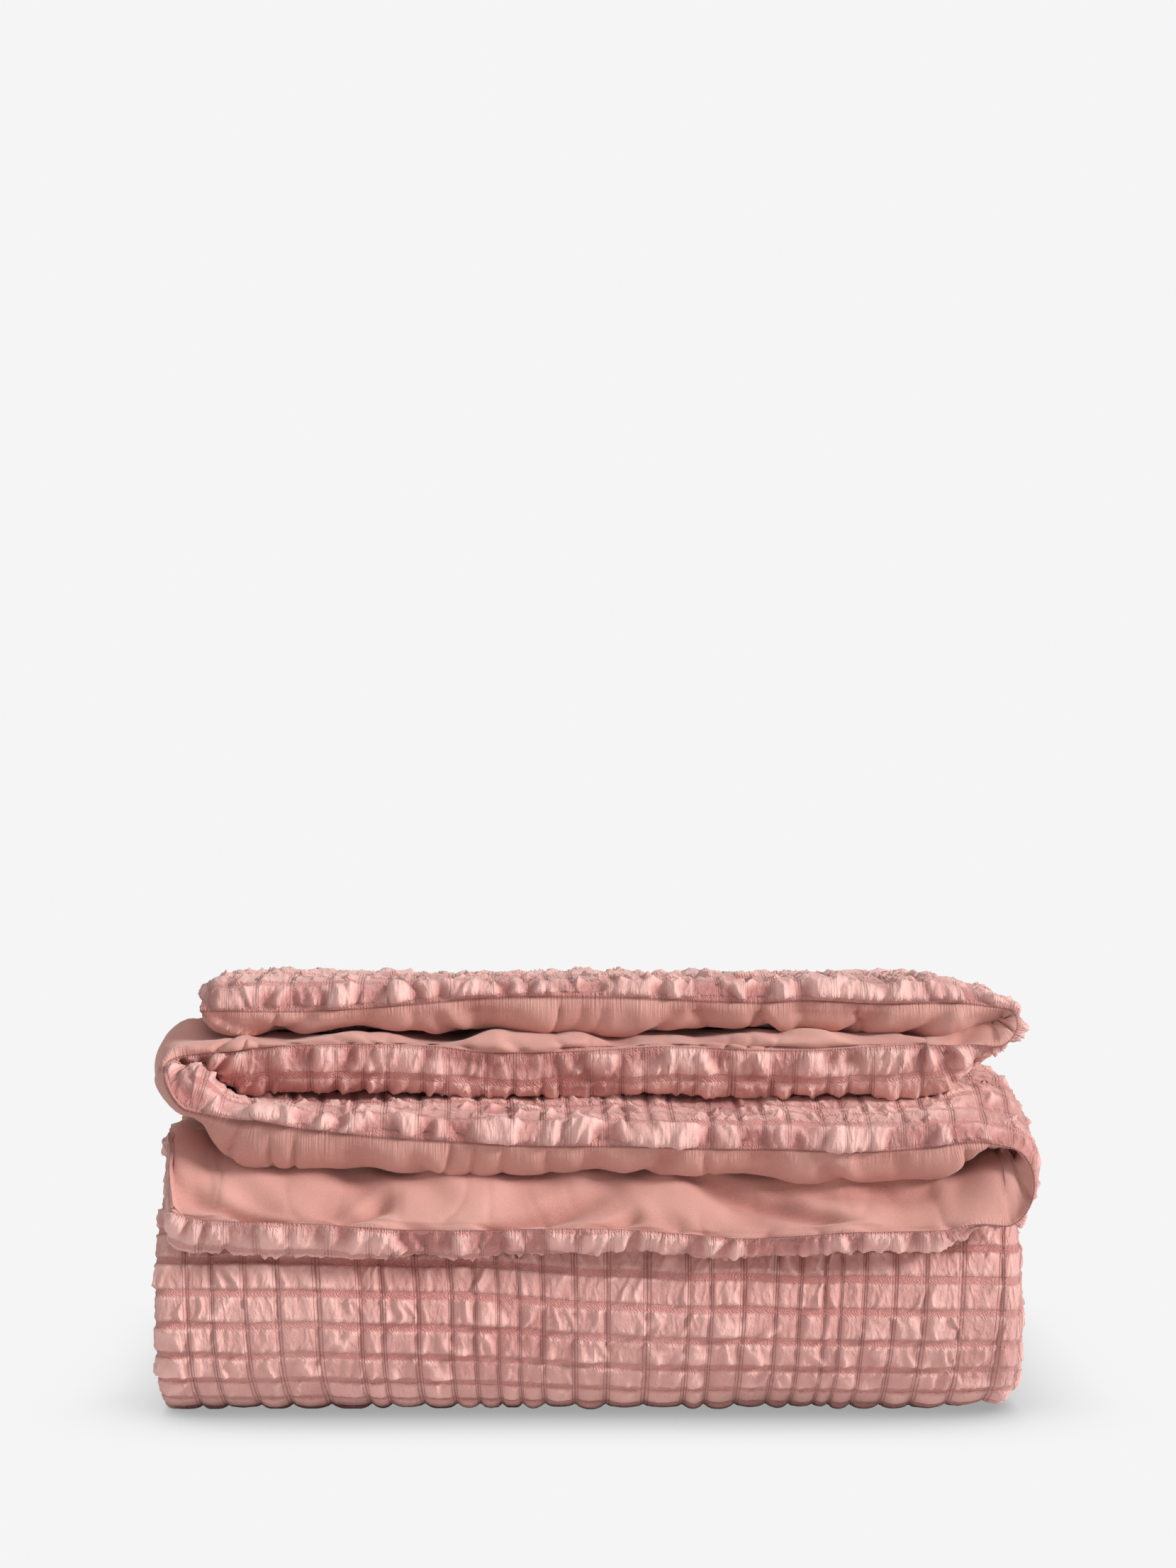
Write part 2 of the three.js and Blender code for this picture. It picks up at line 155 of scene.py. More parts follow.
def through(places, values, at):
    """A smooth curve through the points of a table: a cubic between each two, whose slope at a
    point is that of the line between its neighbours."""
    places, values = np.asarray(places, float), np.asarray(values, float)
    last = len(places) - 1
    before, after = np.maximum(np.arange(last + 1) - 1, 0), np.minimum(np.arange(last + 1) + 1, last)
    slope = (values[after] - values[before]) / (places[after] - places[before])
    at = np.clip(at, places[0], places[last])
    i = np.searchsorted(places[1:-1], at)
    span = places[i + 1] - places[i]
    t = (at - places[i]) / span
    ease = t * t * (3 - 2 * t)
    bend = slope[i] * t * (1 - t) ** 2 - slope[i + 1] * t * t * (1 - t)
    return values[i] * (1 - ease) + values[i + 1] * ease + span * bend


LATTICE = 256  # points each way before a noise repeats


def noise(x, y, seed):
    """Smooth noise from 0 to 1: a random number at each whole point of a lattice, eased between.
    Every noise of the cloths has a seed of its own, and its first two numbers are lengths on the
    cloth over the size of a patch."""
    table = np.random.default_rng(seed).random((LATTICE + 1, LATTICE + 1))
    i, j = np.floor(x).astype(int), np.floor(y).astype(int)
    s, t = smooth(x - i), smooth(y - j)
    i, j = i % LATTICE, j % LATTICE
    low = lerp(table[j, i], table[j, i + 1], s)
    return lerp(low, lerp(table[j + 1, i], table[j + 1, i + 1], s), t)


print("noise at a point:", round(float(noise(np.array(2.5), np.array(1.5), 1)), 3))

# %% [markdown]
# ## The middle of the quilt
# Across the quilt we count from 0, at the free edge of the top layer, to 7, at that of the bottom
# one: even stretches are layers and odd ones the folds between. Along it we count from 0, at the
# front hem, to 5: top pass, back fold, second pass, front fold, third pass.

# %% Where a point across the quilt lies
def level_of(a):
    """The layer, 1 to 4, that a place across lies at. In a fold it follows half a cosine wave."""
    stretch = np.minimum(np.floor(a), ACROSS - 1)
    share = a - stretch
    turned = (stretch + 1) / 2 + (1 - np.cos(np.pi * share)) / 2
    return np.where(stretch % 2 == 0, stretch / 2 + 1, turned)


def layer_shares(level):
    """How much of each of the four layers a level takes, nearest layers first."""
    return [np.maximum(1 - np.abs(level - layer), 0) for layer in range(1, LAYERS + 1)]


def mix(shares, values):
    """A value for each layer, mixed in those shares."""
    return sum(share * value for share, value in zip(shares, values))


def place_across(a, sides):
    """Left to right: a straight run in a layer, and in a fold half a turn, which bulges as a sine.
    Gives the place, how far it is from the nearest fold and how far from a free edge."""
    stretch = np.minimum(np.floor(a), ACROSS - 1).astype(int) + np.zeros(np.shape(sides[0]), int)
    share = a - stretch
    start, above, below, bulge, end = sides[0], sides[1:4], sides[4:7], sides[7:10], sides[10]
    fold = np.clip((stretch - 1) // 2, 0, 2)
    turn = np.pi * share
    upper, lower, swing = np.choose(fold, above), np.choose(fold, below), np.choose(fold, bulge)
    folded = lerp(upper, lower, (1 - np.cos(turn)) / 2) + np.sign(upper) * swing * np.sin(turn)
    layer = stretch // 2
    first, last = np.choose(layer, [start, *below]), np.choose(layer, [*above, end])
    flat = lerp(first, last, share)
    in_fold = stretch % 2 == 1
    far = np.full(flat.shape, NO_EDGE)
    to_first, to_last = np.abs(flat - first), np.abs(flat - last)
    from_fold = np.minimum(np.where(layer == 0, far, to_first), np.where(layer == 3, far, to_last))
    from_edge = np.where(layer == 0, to_first, np.where(layer == 3, to_last, far))
    return (
        np.where(in_fold, folded, flat),
        np.where(in_fold, 0, from_fold),
        np.where(in_fold, far, from_edge),
    )


fold_middles = np.array([1.5, 3.5, 5.5])
print("levels of the folds' middles:", level_of(fold_middles))
print("and their places in the lower passes:", place_across(fold_middles, LOWER_SIDES)[0])

# %% What the tables say at a place
def blend_sides(first, second, share):
    """Two tables of the sides, mixed number by number."""
    return [lerp(one, other, share) for one, other in zip(first, second)]


def top_column(shares, back, first):
    """A value of the top pass, that far back: its curve for each layer, mixed in their shares."""
    columns = range(first, first + LAYERS)
    return mix(shares, [through(TOP_PASS[:, 0], TOP_PASS[:, i], back) for i in columns])


def top_height(shares, back):
    """The height of the middle of the layers: columns 1 to 4 of the table."""
    return top_column(shares, back, 1)


def top_half(shares, back):
    """Half the thickness of the layers: columns 5 to 8 of the table."""
    return top_column(shares, back, 1 + LAYERS)


def hem_waves(x):
    """The height of each layer's hem wave at the place x, from left to right."""
    return [through(*np.array(rise).T, x) for rise in HEM_RISE]


def shoulder(level, x, behind):
    """A layer's swelling at a side: its lift, eased in from the side and from the hem, and out."""
    lift = 0
    for layer, height, inner, outer, starts, full, fades, gone in SHOULDERS:
        side = smooth((x - inner) / (outer - inner))
        kept = smooth((behind - starts) / (full - starts)) * smooth((gone - behind) / (gone - fades))
        lift = lift + height * np.maximum(1 - np.abs(level - layer), 0) * side * kept
    return lift


def third_height(level):
    """The height of a layer's middle in the third pass: even steps up from the floor."""
    return LOWER_PITCH * (LAYERS - level + 0.5)


def second_height(level):
    """The same steps down from the top of the second pass."""
    return LOWER_HEIGHT - LOWER_PITCH * (LAYERS - level + 0.5)


every_level = np.arange(1, LAYERS + 1)
print("heights of the layers in the third pass:", third_height(every_level))
print("and in the second:", second_height(every_level))

# %% The five passes of the strip
def top_pass(a, share):
    """From the front hem to the back fold: heights from the table, plus the hem's own waves."""
    level = level_of(a) + 0 * share
    shares = layer_shares(level)
    hem = mix(shares, HEM_BACK)
    back = lerp(hem, FOLD_BACK, share)
    behind = back - hem
    sides = blend_sides(TOP_SIDES, HEM_SIDES, np.exp(-((behind / SIDE_REACH) ** 2)))
    x, from_fold, from_edge = place_across(a, sides)
    swell = smooth(from_fold / FOLD_TAPER)
    joined = lerp(1, mix(shares, HEM_SHARE), swell)
    rise = mix(shares, hem_waves(x)) * joined + mix(shares, np.abs(HEM_SEAM)) * (1 - swell)
    lift = rise * np.exp(-((behind / HEM_REACH) ** 2)) + shoulder(level, x, behind)
    half = lerp(sides[11], top_half(shares, back), swell)
    return x, back, top_height(shares, back) + lift, half, swell, behind, from_edge


def lower_pass(a, share, stretch, hem_ends):
    """The back fold, second pass, front fold and third pass: half circles and straight runs."""
    level = level_of(a) + 0 * share
    shares = layer_shares(level)
    eased = smooth(share) if stretch == 1 else 1 + 0 * share
    sides = blend_sides(TOP_SIDES, LOWER_SIDES, eased + 0 * level)
    x, from_fold, from_edge = place_across(a, sides)
    swell = smooth(from_fold / FOLD_TAPER)
    half = lerp(sides[11], lerp(top_half(shares, FOLD_BACK), LOWER_HALF, eased), swell)
    inward = np.maximum(1 - (x / LOWER_SIDES[0]) ** 2, 0)
    half = half * (1 - FOOT_PRESS * inward * smooth(stretch + share - 3))
    from_hem = np.full(x.shape, NO_EDGE)
    angle = np.pi * share
    if stretch == 1:
        upper = top_height(shares, FOLD_BACK) - FOLD_HEIGHT
        radius = lerp(upper, FOLD_HEIGHT - second_height(level), eased)
        back, height = FOLD_BACK + radius * np.sin(angle), FOLD_HEIGHT + radius * np.cos(angle)
        half = half * (1 - BACK_PRESS * np.sin(angle))
    elif stretch == 2:
        back, height = lerp(FOLD_BACK, FRONT_BACK, share) + 0 * level, second_height(level)
    elif stretch == 3:
        radius = np.abs(FRONT_HEIGHT - third_height(level))
        back, height = FRONT_BACK - radius * np.sin(angle), FRONT_HEIGHT + radius * np.cos(angle)
    else:
        back, height = lerp(FRONT_BACK, hem_ends, share), third_height(level)
        from_hem = hem_ends - back
    return x, back, height, half, swell, from_hem, from_edge


# %% The middle of the quilt as one function
def middle(a, b, hem_ends=0):
    """The middle of the quilt at the columns a and the rows b: its points, half the thickness, how
    far it has swelled beside a fold, and how far it is from a hem and from a free edge."""
    a = a[None, :]
    made = [np.zeros((len(b), a.shape[1])) for _ in range(7)]
    stretches = np.clip(np.floor(b), 0, ALONG - 1).astype(int)
    for stretch in np.unique(stretches):
        rows = np.nonzero(stretches == stretch)[0]
        share = (b[rows] - stretch)[:, None]
        found = top_pass(a, share) if stretch == 0 else lower_pass(a, share, stretch, hem_ends)
        for whole, part in zip(made, found):
            whole[rows] = part
    return np.stack(made[:3], 2), *made[3:]


hem_middles = middle(np.array([0.5, 2.5, 4.5, 6.5]), np.array([0.0]))[0][0]
print("middles of the four front hems, mm:")
print(np.round(hem_middles, 1))

# %% Every layer is as long as the quilt
STEPS, THIRD_PASS = 80, 3.999  # of the line that is measured, and where it ends


def back_hems(a):
    """Where each column's back hem lies: its length so far, measured in straight steps, is taken
    from the quilt's length, and the rest is the third pass."""
    stretch = np.minimum(np.floor(a), ACROSS - 1)
    measured = np.where(stretch % 2 == 0, stretch + 0.5, a)
    points = middle(measured, THIRD_PASS * np.arange(STEPS + 1) / STEPS)[0]
    length = np.linalg.norm(np.diff(points, axis=0), axis=2).sum(0)
    return FRONT_BACK + QUILT_LENGTH - length


print("back hems, mm:", np.round(back_hems(np.array([0.5, 2.5, 4.5, 6.5])), 1))

# %% [markdown]
# ## The two outer surfaces
# The padding holds the face and the back apart. Each lies half the thickness from the middle, and at
# the sewn edges both come together in a line that is drawn a little into the quilt, as a real
# knife-edge seam is. At the ends of the folds, loose cloth is tucked in and closes them. A cloth
# simulation could find such forms too, but a formula gives the pile that was seen, and can be
# changed one fold at a time.

# %% Cloth tucked into the folds
# Cloth tucked into the open end of a fold: the fold's middle across, which cloth, how far from the
# quilt's middle it reaches, and how far it goes on into the layers
TUCKS = [(1.5, -1, 18, 0.085), (3.5, 1, 22, 0.045), (5.5, -1, 15, 0.05)]
TUCK_STARTS, TUCK_FULL = 1, 26  # behind the hem
TUCK_MIDDLE, TUCK_MORE = 0.8, 0.2  # its reach in the middle of the fold, and what the sides add


def tucked(a, half, from_hem, side):
    """How much further than half the thickness the cloth reaches in the folds behind the hem, so
    that their open ends close. It reaches a little less in the middle of the fold."""
    inside = smooth((from_hem - TUCK_STARTS) / (TUCK_FULL - TUCK_STARTS))
    more = 0
    for at, of, reach, goes_on in TUCKS:
        off = np.abs(a - at)[None, :]
        there = smooth((0.5 + goes_on - off) / goes_on) * (of == side)
        full = TUCK_MIDDLE + TUCK_MORE * np.minimum(2 * off, 1)
        more = more + there * np.maximum(reach * full - half, 0)
    return more * inside


print("tucked into the folds, mm:", [reach for at, of, reach, goes_on in TUCKS])

# %% A cloth's surface over the padding
NUDGE = 1e-3  # a small step on the cloth, to find its slopes
GROOVE_DEPTH, GROOVE_WIDTH, GROOVE_REACH = 2.4, 2.6, 12  # of the seam between the swelling edges


def unit(v):
    """A vector over its length."""
    return v / np.maximum(np.linalg.norm(v, axis=-1, keepdims=True), 1e-12)


def rounded(distance, reach):
    """A quarter of an ellipse: 0 at the edge, 1 from reach onwards."""
    t = np.clip(distance / reach, 0, 1)
    return np.sqrt(1 - (1 - t) ** 2)


def cloth(a, b, side):
    """A point of the middle plus the normal times the offset of the face (side 1) or the back
    (side -1). Near a sewn edge the offset shrinks to the seam's, and the seam is drawn inwards."""
    ends = back_hems(a)
    point, half, swell, from_hem, from_edge = middle(a, b, ends)

    def place(da, db):
        """The middle of the quilt a small step away."""
        beside = np.clip(a + da, 0, ACROSS)
        return middle(beside, np.clip(b + db, 0, ALONG), back_hems(beside) if da else ends)[0]

    across = unit(place(NUDGE, 0) - place(-NUDGE, 0))
    along = unit(place(0, NUDGE) - place(0, -NUDGE))
    normal = unit(np.cross(across, along))
    hem_full, edge_full = rounded(from_hem, HEM_ROUNDING), rounded(from_edge, SIDE_ROUNDING)
    full = hem_full * edge_full
    shares = layer_shares(level_of(a)[None, :])
    front = (b < 1)[:, None] * 1.0

    def near(reach):
        """1 at the front hem, and fading behind it as a bell."""
        return front * np.exp(-((from_hem / reach) ** 2))

    waves = hem_waves(point[..., 0])
    seams = [HEM_SEAM[i] + (-1) ** i * (1 - HEM_SHARE[i]) * waves[i] for i in range(LAYERS)]
    aside = mix(shares, SIDE_SEAM) * smooth((1 - b) / SIDE_SEAM_END)[:, None]
    seam = lerp(aside, mix(shares, seams) * swell, near(SEAM_REACH))
    from_left = np.clip(point[..., 0] / HEM_WIDTH + 0.5, 0, 1)
    roll = mix(shares, [lerp(*roll, from_left) for roll in HEM_ROLL])
    foot_rise = smooth((a - FOOT[0]) / (FOOT[1] - FOOT[0]))
    foot = (foot_rise * smooth((FOOT[3] - a) / (FOOT[3] - FOOT[2])))[None, :]
    kept = lerp(1, roll, near(ROLL_REACH)) if side > 0 else 1 + FOOT_SWELL * foot * near(FOOT_REACH)
    out = half * kept + tucked(a, half, from_hem, side) * front
    offset = seam * (1 - full) + side * full * out
    gap = full * np.abs(side * half * kept - seam)
    drawn = GROOVE_DEPTH * np.exp(-((gap / GROOVE_WIDTH) ** 2))
    hem_pull = drawn * np.exp(-((from_hem / GROOVE_REACH) ** 2))
    edge_pull = drawn * np.exp(-((from_edge / GROOVE_REACH) ** 2))
    hem_way = np.where(b < ALONG / 2, 1, -1)[:, None, None]
    edge_way = np.where(a < ACROSS / 2, 1, -1)[None, :, None]
    pulled = along * hem_way * hem_pull[..., None] + across * edge_way * edge_pull[..., None]
    return point + normal * offset[..., None] + pulled


seam_point, swollen_point = (cloth(np.array([6.5]), np.array([b]), 1)[0, 0] for b in (0, 0.05))
print("a point of the lowest hem's seam:", np.round(seam_point, 1))
print("and one behind it:", np.round(swollen_point, 1))

# %% Where the cloth is measured
LAYER_WIDTH, HEM_RUN = 500, FOLD_BACK - 30  # about as long as a layer's and the top pass's stretch
EDGE_PLACES, HEM_PLACES = 12, 20  # round a sewn edge, where the surface turns sharply
LAYER_PLACES, TOP_PLACES, LOWER_PLACES = 33, 160, 90  # in each stretch across, and along
BACK_HEM_SHARE = 0.04  # of the third pass, that its sewn edge takes


def around(reach, count):
    """Places from 0 to reach, close together at 0, as equal steps round a quarter circle."""
    return reach * (1 - np.cos(np.linspace(0, np.pi / 2, count)))


edge_places = around(SIDE_ROUNDING / LAYER_WIDTH, EDGE_PLACES)
layer_places = [i + np.linspace(0, 1, LAYER_PLACES) for i in range(ACROSS)]
ruler_a = np.unique(np.concatenate([edge_places, *layer_places, ACROSS - edge_places]))
lower_places = [i + np.linspace(0, 1, LOWER_PLACES) for i in range(1, ALONG)]
ruler_b = np.unique(np.concatenate([
    around(HEM_ROUNDING / HEM_RUN, HEM_PLACES), np.linspace(0, 1, TOP_PLACES), *lower_places,
    ALONG - around(BACK_HEM_SHARE, HEM_PLACES)]))
print("places measured, across and along:", len(ruler_a), len(ruler_b))

# %% Lengths on the cloth
BEHIND_ROLL = 40  # millimetres behind the hem, where the width of the cloth is measured


def lengths(points, axis):
    """The length of the cloth up to each point, along one axis of the grid."""
    steps = np.linalg.norm(np.diff(points, axis=axis), axis=2)
    return np.concatenate([np.zeros_like(steps.take([0], axis)), steps.cumsum(axis)], axis)


rulers = {}
for side in (1, -1):
    base = cloth(ruler_a, ruler_b, side)
    row = int(np.searchsorted(ruler_b, BEHIND_ROLL / HEM_RUN))
    rulers[side] = {"p": lengths(base, 1)[row], "q": lengths(base, 0), "box": base.reshape(-1, 3)}
    print("side", side, "across, mm:", round(rulers[side]["p"][-1]),
          "along layer 4, mm:", round(rulers[side]["q"][-1, -30]))

every = np.concatenate([rulers[1]["box"], rulers[-1]["box"]])
low, high = every.min(0), every.max(0)
to_frame = np.array([(low[0] + high[0]) / 2, high[1] - 1000 * cad_high[1], low[2]])
print("form's box, mm:", np.round(high - low, 1), "the frame's origin in it:", np.round(to_frame, 2))

# %% [markdown]
# ## The pattern of the crinkle cloth
# Such cloth is woven with bands of tight threads across and double tight threads along it. Between
# them the loose cloth puffs up in squares. The pattern belongs to the cloth, so it is laid out by
# lengths on the cloth, and each fold carries it along. The rows are even, but the columns are pulled
# wide or narrow as the padding shifts, so their widths are a list.

# %% Rows and columns of the pattern, millimetres
ROW = 20.363  # from band to band
COLUMN = 19.6  # from line to line, on average
# The lines on the front of the lower fold, from its left end to its right one
FRONT_LINES = [-248.4, -232.5, -211.8, -191.5, -166.8, -140.8, -126.7, -105.6, -84.8, -69.9, -56.2,
               -43.0, -28.4, -8.6, 11.4, 36.0, 61.0, 75.1, 95.0, 115.2, 130.2, 145.7, 155.8, 169.9,
               188.4, 207.4, 230.7, 255.8]
DROOP = [[-270, 0], [-118, 0.5], [57, 9.5], [250, 13]]  # of the rows there, from left to right
LEAN, LEAN_WIDTH = 6, 150  # how far the lines there lean towards the middle, and from where on
ABOVE_FOLD, BELOW_FOLD, UPRIGHT_AT = -60, 80, 25  # the stretch that leans, and where nothing does
LEAN_LENGTH = 90
LINE_WANDER, BAND_WANDER = 1.6, 2.2
COLUMN_SPREAD, NARROWEST, WIDEST, CLOSEST = 4.6, 11, 28, 12  # of the columns that don't show there

face = rulers[1]
fold_middle = int(np.searchsorted(ruler_b, 3.5))
front_q = face["q"][fold_middle]  # the length along each column to the middle of the front fold


def column_at(x):
    """The place across the quilt of a point of the bottom layer, from its place left to right."""
    return 6 + (LOWER_SIDES[6] - x) / (LOWER_SIDES[6] - LOWER_SIDES[10])


front_p = np.interp(column_at(np.array(FRONT_LINES)), ruler_a, face["p"])[::-1]
widths = np.random.default_rng(5).normal(COLUMN, COLUMN_SPREAD, 200)
free_p = np.concatenate([[0], np.cumsum(np.clip(widths, NARROWEST, WIDEST))])
free_p = free_p[free_p < front_p[0] - CLOSEST]
line_p = np.concatenate([free_p, front_p, [face["p"][-1], face["p"][-1] + 20]])
print("columns:", len(line_p) - 2, "rows:", int(QUILT_LENGTH / ROW))

# %% The place of a point in the pattern
def ruler_at(a, b, table):
    """A ruler's table at columns a and rows b: straight lines between its nodes, one way and then
    the other."""
    rows = np.array([np.interp(b, ruler_b, column) for column in table.T]).T
    j = np.clip(np.searchsorted(ruler_a, a) - 1, 0, len(ruler_a) - 2)
    share = (a - ruler_a[j]) / (ruler_a[j + 1] - ruler_a[j])
    return lerp(rows[:, j], rows[:, j + 1], share)


def pattern_at(a, b):
    """Where columns a and rows b lie in the cloth: p across and q along in millimetres, and the
    same counted in columns and rows, with a slight wander. In the lower passes the rows droop to
    the right and the lines lean inwards."""
    p = np.interp(a, ruler_a, face["p"])[None, :] + 0 * b[:, None]
    q = ruler_at(a, b, face["q"])
    x = lerp(LOWER_SIDES[6], LOWER_SIDES[10], np.clip(a - 6, 0, 1))[None, :]
    here = smooth(b - 1.5)[:, None] * smooth(a - 5)[None, :]
    to_front = np.interp(a, ruler_a, front_q)[None, :]
    down = np.clip(q - to_front, ABOVE_FOLD, BELOW_FOLD) - UPRIGHT_AT
    skew = to_front - np.interp(6.5, ruler_a, front_q) + through(*np.array(DROOP).T, x)
    leaning = here * LEAN * np.tanh(x / LEAN_WIDTH) * down / LEAN_LENGTH
    shown_p = p - leaning + LINE_WANDER * (noise(p / 60, q / 45, 11) - 0.5)
    shown_q = q - here * skew + BAND_WANDER * (noise(p / 34, q / 90, 12) - 0.5)
    columns = through(line_p, np.arange(len(line_p)), shown_p)
    return p, q, columns, shown_q / ROW


p, q, columns, rows = pattern_at(np.array([6.5]), np.array([3.5]))
print("at the middle of the front fold: column", round(columns.item(), 1), "row", round(rows.item(), 1))

# %% [markdown]
# ## The relief of the crinkle cloth
# Each square puffs up between its bands and lines and has a few upright wrinkles, as sharp as cloth
# makes them. That is too fine for the CAD solids and too coarse for a bump map, because it shows in
# the outline, so it moves the points. Finer pleats and threads are in the material.
#
# The wrinkles are noises, bent into the shape wanted. Their patches are narrow across the cloth and
# long along it, because the threads of the bands pull the cloth together from side to side.

# %% Squares and their puffs, millimetres
PUFF, SETTLE = 0.9, -0.7  # how high a square puffs up, and how far the cloth sinks into the padding
PUFF_EDGE, LEAST_PUFF = 5, 0.4  # how far it takes to rise, and the share that the lowest square has
PUFF_BELOW = 1.6  # how much more it rises below
LINE_DEPTH, LINE_WIDTH = 0.8, 1.5
BAND_HALF, BAND_EDGE = 1.7, 2.8
SQUARES = 400  # before their random numbers repeat


def in_square(columns, rows):
    """Where a point is in its square: the row's number, the shares of the way across and along, how
    far the nearest line and band are, and a random number from 0 to 1 that the square has."""
    column, row = np.floor(columns).astype(int), np.floor(rows).astype(int)
    s, t = columns - column, rows - row
    width = np.diff(line_p)[np.clip(column, 0, len(line_p) - 2)]
    own = np.random.default_rng(7).random((SQUARES, SQUARES))[column % SQUARES, row % SQUARES]
    return row, s, t, np.minimum(s, 1 - s) * width, np.minimum(t, 1 - t) * ROW, own


def puffs(s, from_line, own, open_cloth, below):
    """A flat puff, which eases up from its lines. Below, it is half a sine wave and higher."""
    rise = lerp(0.1 + 0.9 * smooth(from_line / PUFF_EDGE), np.sin(np.pi * s), below) * open_cloth
    return PUFF * (LEAST_PUFF + own) * (1 + PUFF_BELOW * below) * rise


from_line, from_band = in_square(columns, rows)[3:5]
print("from there to a line, mm:", round(from_line.item(), 1), "to a band:", round(from_band.item(), 1))

# %% Wrinkles, millimetres
WRINKLE, GATHER, GATHER_WIDTH = 2.0, 1.4, 3.2
CREST, CREST_SPACING = 2.8, 8  # the few sharp upright crests, and how far apart they are
CREST_SHARP, CREST_MOST = 9, 1.15
CURTAIN, SEAM_GATHER, GATHERS_REACH = 6.0, 1.8, 9  # what the seam of the front hem gathers


def ridge(n):
    """A noise from 0 to 1 folded into sharp crests: 1 minus its distance from the middle, squared."""
    return (1 - np.abs(2 * n - 1)) ** 2


def crest(n, sharp):
    """A narrow ridge where a noise crosses its middle: the bell of that distance times sharp."""
    return np.exp(-(((n - 0.5) * sharp) ** 2))


def wrinkles(p, rows, row, from_band, lean, drift):
    """The sum of three: soft wrinkles, sharp crests where the cloth is lively, and gathers at the
    bands. All three drift sideways, and each row of squares has its own."""
    t = rows - row
    at_band = np.exp(-((np.maximum(from_band - BAND_HALF, 0) / GATHER_WIDTH) ** 2))
    lively = np.minimum(2.4 * noise((p + lean) / 13, rows * 1.7 + 0.5, 22) ** 1.6, CREST_MOST)
    soft = WRINKLE * (noise((p + drift) / 3.6, row * 3.7 + t * 0.8, 23) - 0.5)
    soft = soft * (0.5 + 0.5 * at_band)
    crests = CREST * crest(noise((p + drift) / CREST_SPACING, row * 2.9 + 0.5 * t, 28), CREST_SHARP)
    crests = crests * (0.35 + 0.65 * np.maximum(t, at_band)) * lively
    gathers = GATHER * ridge(noise((p + drift) / 2.5, row * 5.3 + t, 24)) ** 1.5 * at_band
    return soft + crests + gathers


def hem_gathers(p, q, from_seam, near_hem, drift):
    """At the front hem round folds like those of a curtain, and fine ridges close to any seam."""
    folds = smooth(noise((p + 0.8 * drift) / 8.2, q / 40, 26) * 1.7 - 0.35) - 0.5
    at_seam = np.exp(-((from_seam / GATHERS_REACH) ** 2))
    fine_ridges = ridge(noise((p + 0.3 * drift) / 2.6, q / 30, 29)) - 0.5
    return CURTAIN * near_hem * folds + SEAM_GATHER * at_seam * fine_ridges


beside_crest = np.array([0.5, 0.6, 0.7])
print("a crest, where the noise is", beside_crest, "is", np.round(crest(beside_crest, CREST_SHARP), 2))

# %% The whole relief of the crinkle cloth
SLANT, DRIFT = 16, 6  # how far the wrinkles of a square slant, and how far all of them wander
SWAY, TOP_SWAY, TOP_WRINKLE = 2.0, 4.4, 1.2  # more on the top pass, which nothing presses flat
HEM_FLATTENS, FOOT_CALMS = 0.6, 0.9  # the shares of puffs and wrinkles that are lost there
SEAM_EDGE = 4  # from the seam to the full relief
LIFT_FROM, LIFT_RANGE = 2.0, 4.4  # from the lowest cloth, and up to the highest


def crinkle_relief(p, q, columns, rows, from_seam, near_hem, on_top, below):
    """Height over the padding: puff, less a groove at each line, plus the wrinkles outside the
    bands, a wide sway and what the seam gathers. Near the hem the puffs are lower, and below, where
    the pile rests, there are next to no wrinkles. The second value is the height as a share."""
    row, s, t, from_line, from_band, own = in_square(columns, rows)
    open_cloth = smooth((from_band - BAND_HALF) / BAND_EDGE)
    puff = puffs(s, from_line, own, open_cloth, below)
    line = LINE_DEPTH * np.exp(-((from_line / LINE_WIDTH) ** 2)) * (1 - near_hem)
    lean = SLANT * (own - 0.5) * (t - 0.5)
    drift = DRIFT * (noise(p / 15, q / 9, 21) - 0.5) + lean
    crumpled = wrinkles(p, rows, row, from_band, lean, drift) * np.sqrt(open_cloth)
    crumpled = crumpled * lerp(1, TOP_WRINKLE, on_top) * (1 - FOOT_CALMS * below)
    wide = noise(p / 26, q / 22, 27) - 0.5
    sway = SWAY * (noise(p / 70, q / 60, 25) - 0.5) + TOP_SWAY * on_top * wide
    gathered = hem_gathers(p, q, from_seam, near_hem, drift)
    height = SETTLE + puff * (1 - HEM_FLATTENS * near_hem) + crumpled - line + sway + gathered
    # The material paints the low cloth darker, as shade, and the high cloth lighter, as a highlight, by
    # this share of height.
    return height * smooth(from_seam / SEAM_EDGE), np.clip((height + LIFT_FROM) / LIFT_RANGE, 0, 1)


here = crinkle_relief(p, q, columns, rows, np.array(50.0), 0, 0, 0)
print("relief there, mm:", round(here[0].item(), 2), "as a share:", round(here[1].item(), 2))

# %% [markdown]
# ## The relief of the plain back
# The back is smooth, because nothing gathers it but the seam. Creases run from the seam into the
# cloth and die out, and long soft folds cross it where the padding gives way.

# %% Creases and soft folds, millimetres
CREASE, SMALL_CREASE, SOFT_FOLD = 5.0, 1.1, 8.0
CREASE_FADES, SMALL_FADES, PLAIN_EDGE = 24, 7, 5  # from the seam
PLAIN_FROM, PLAIN_RANGE = 6, 9  # the depth of the lowest cloth, and from there to the highest
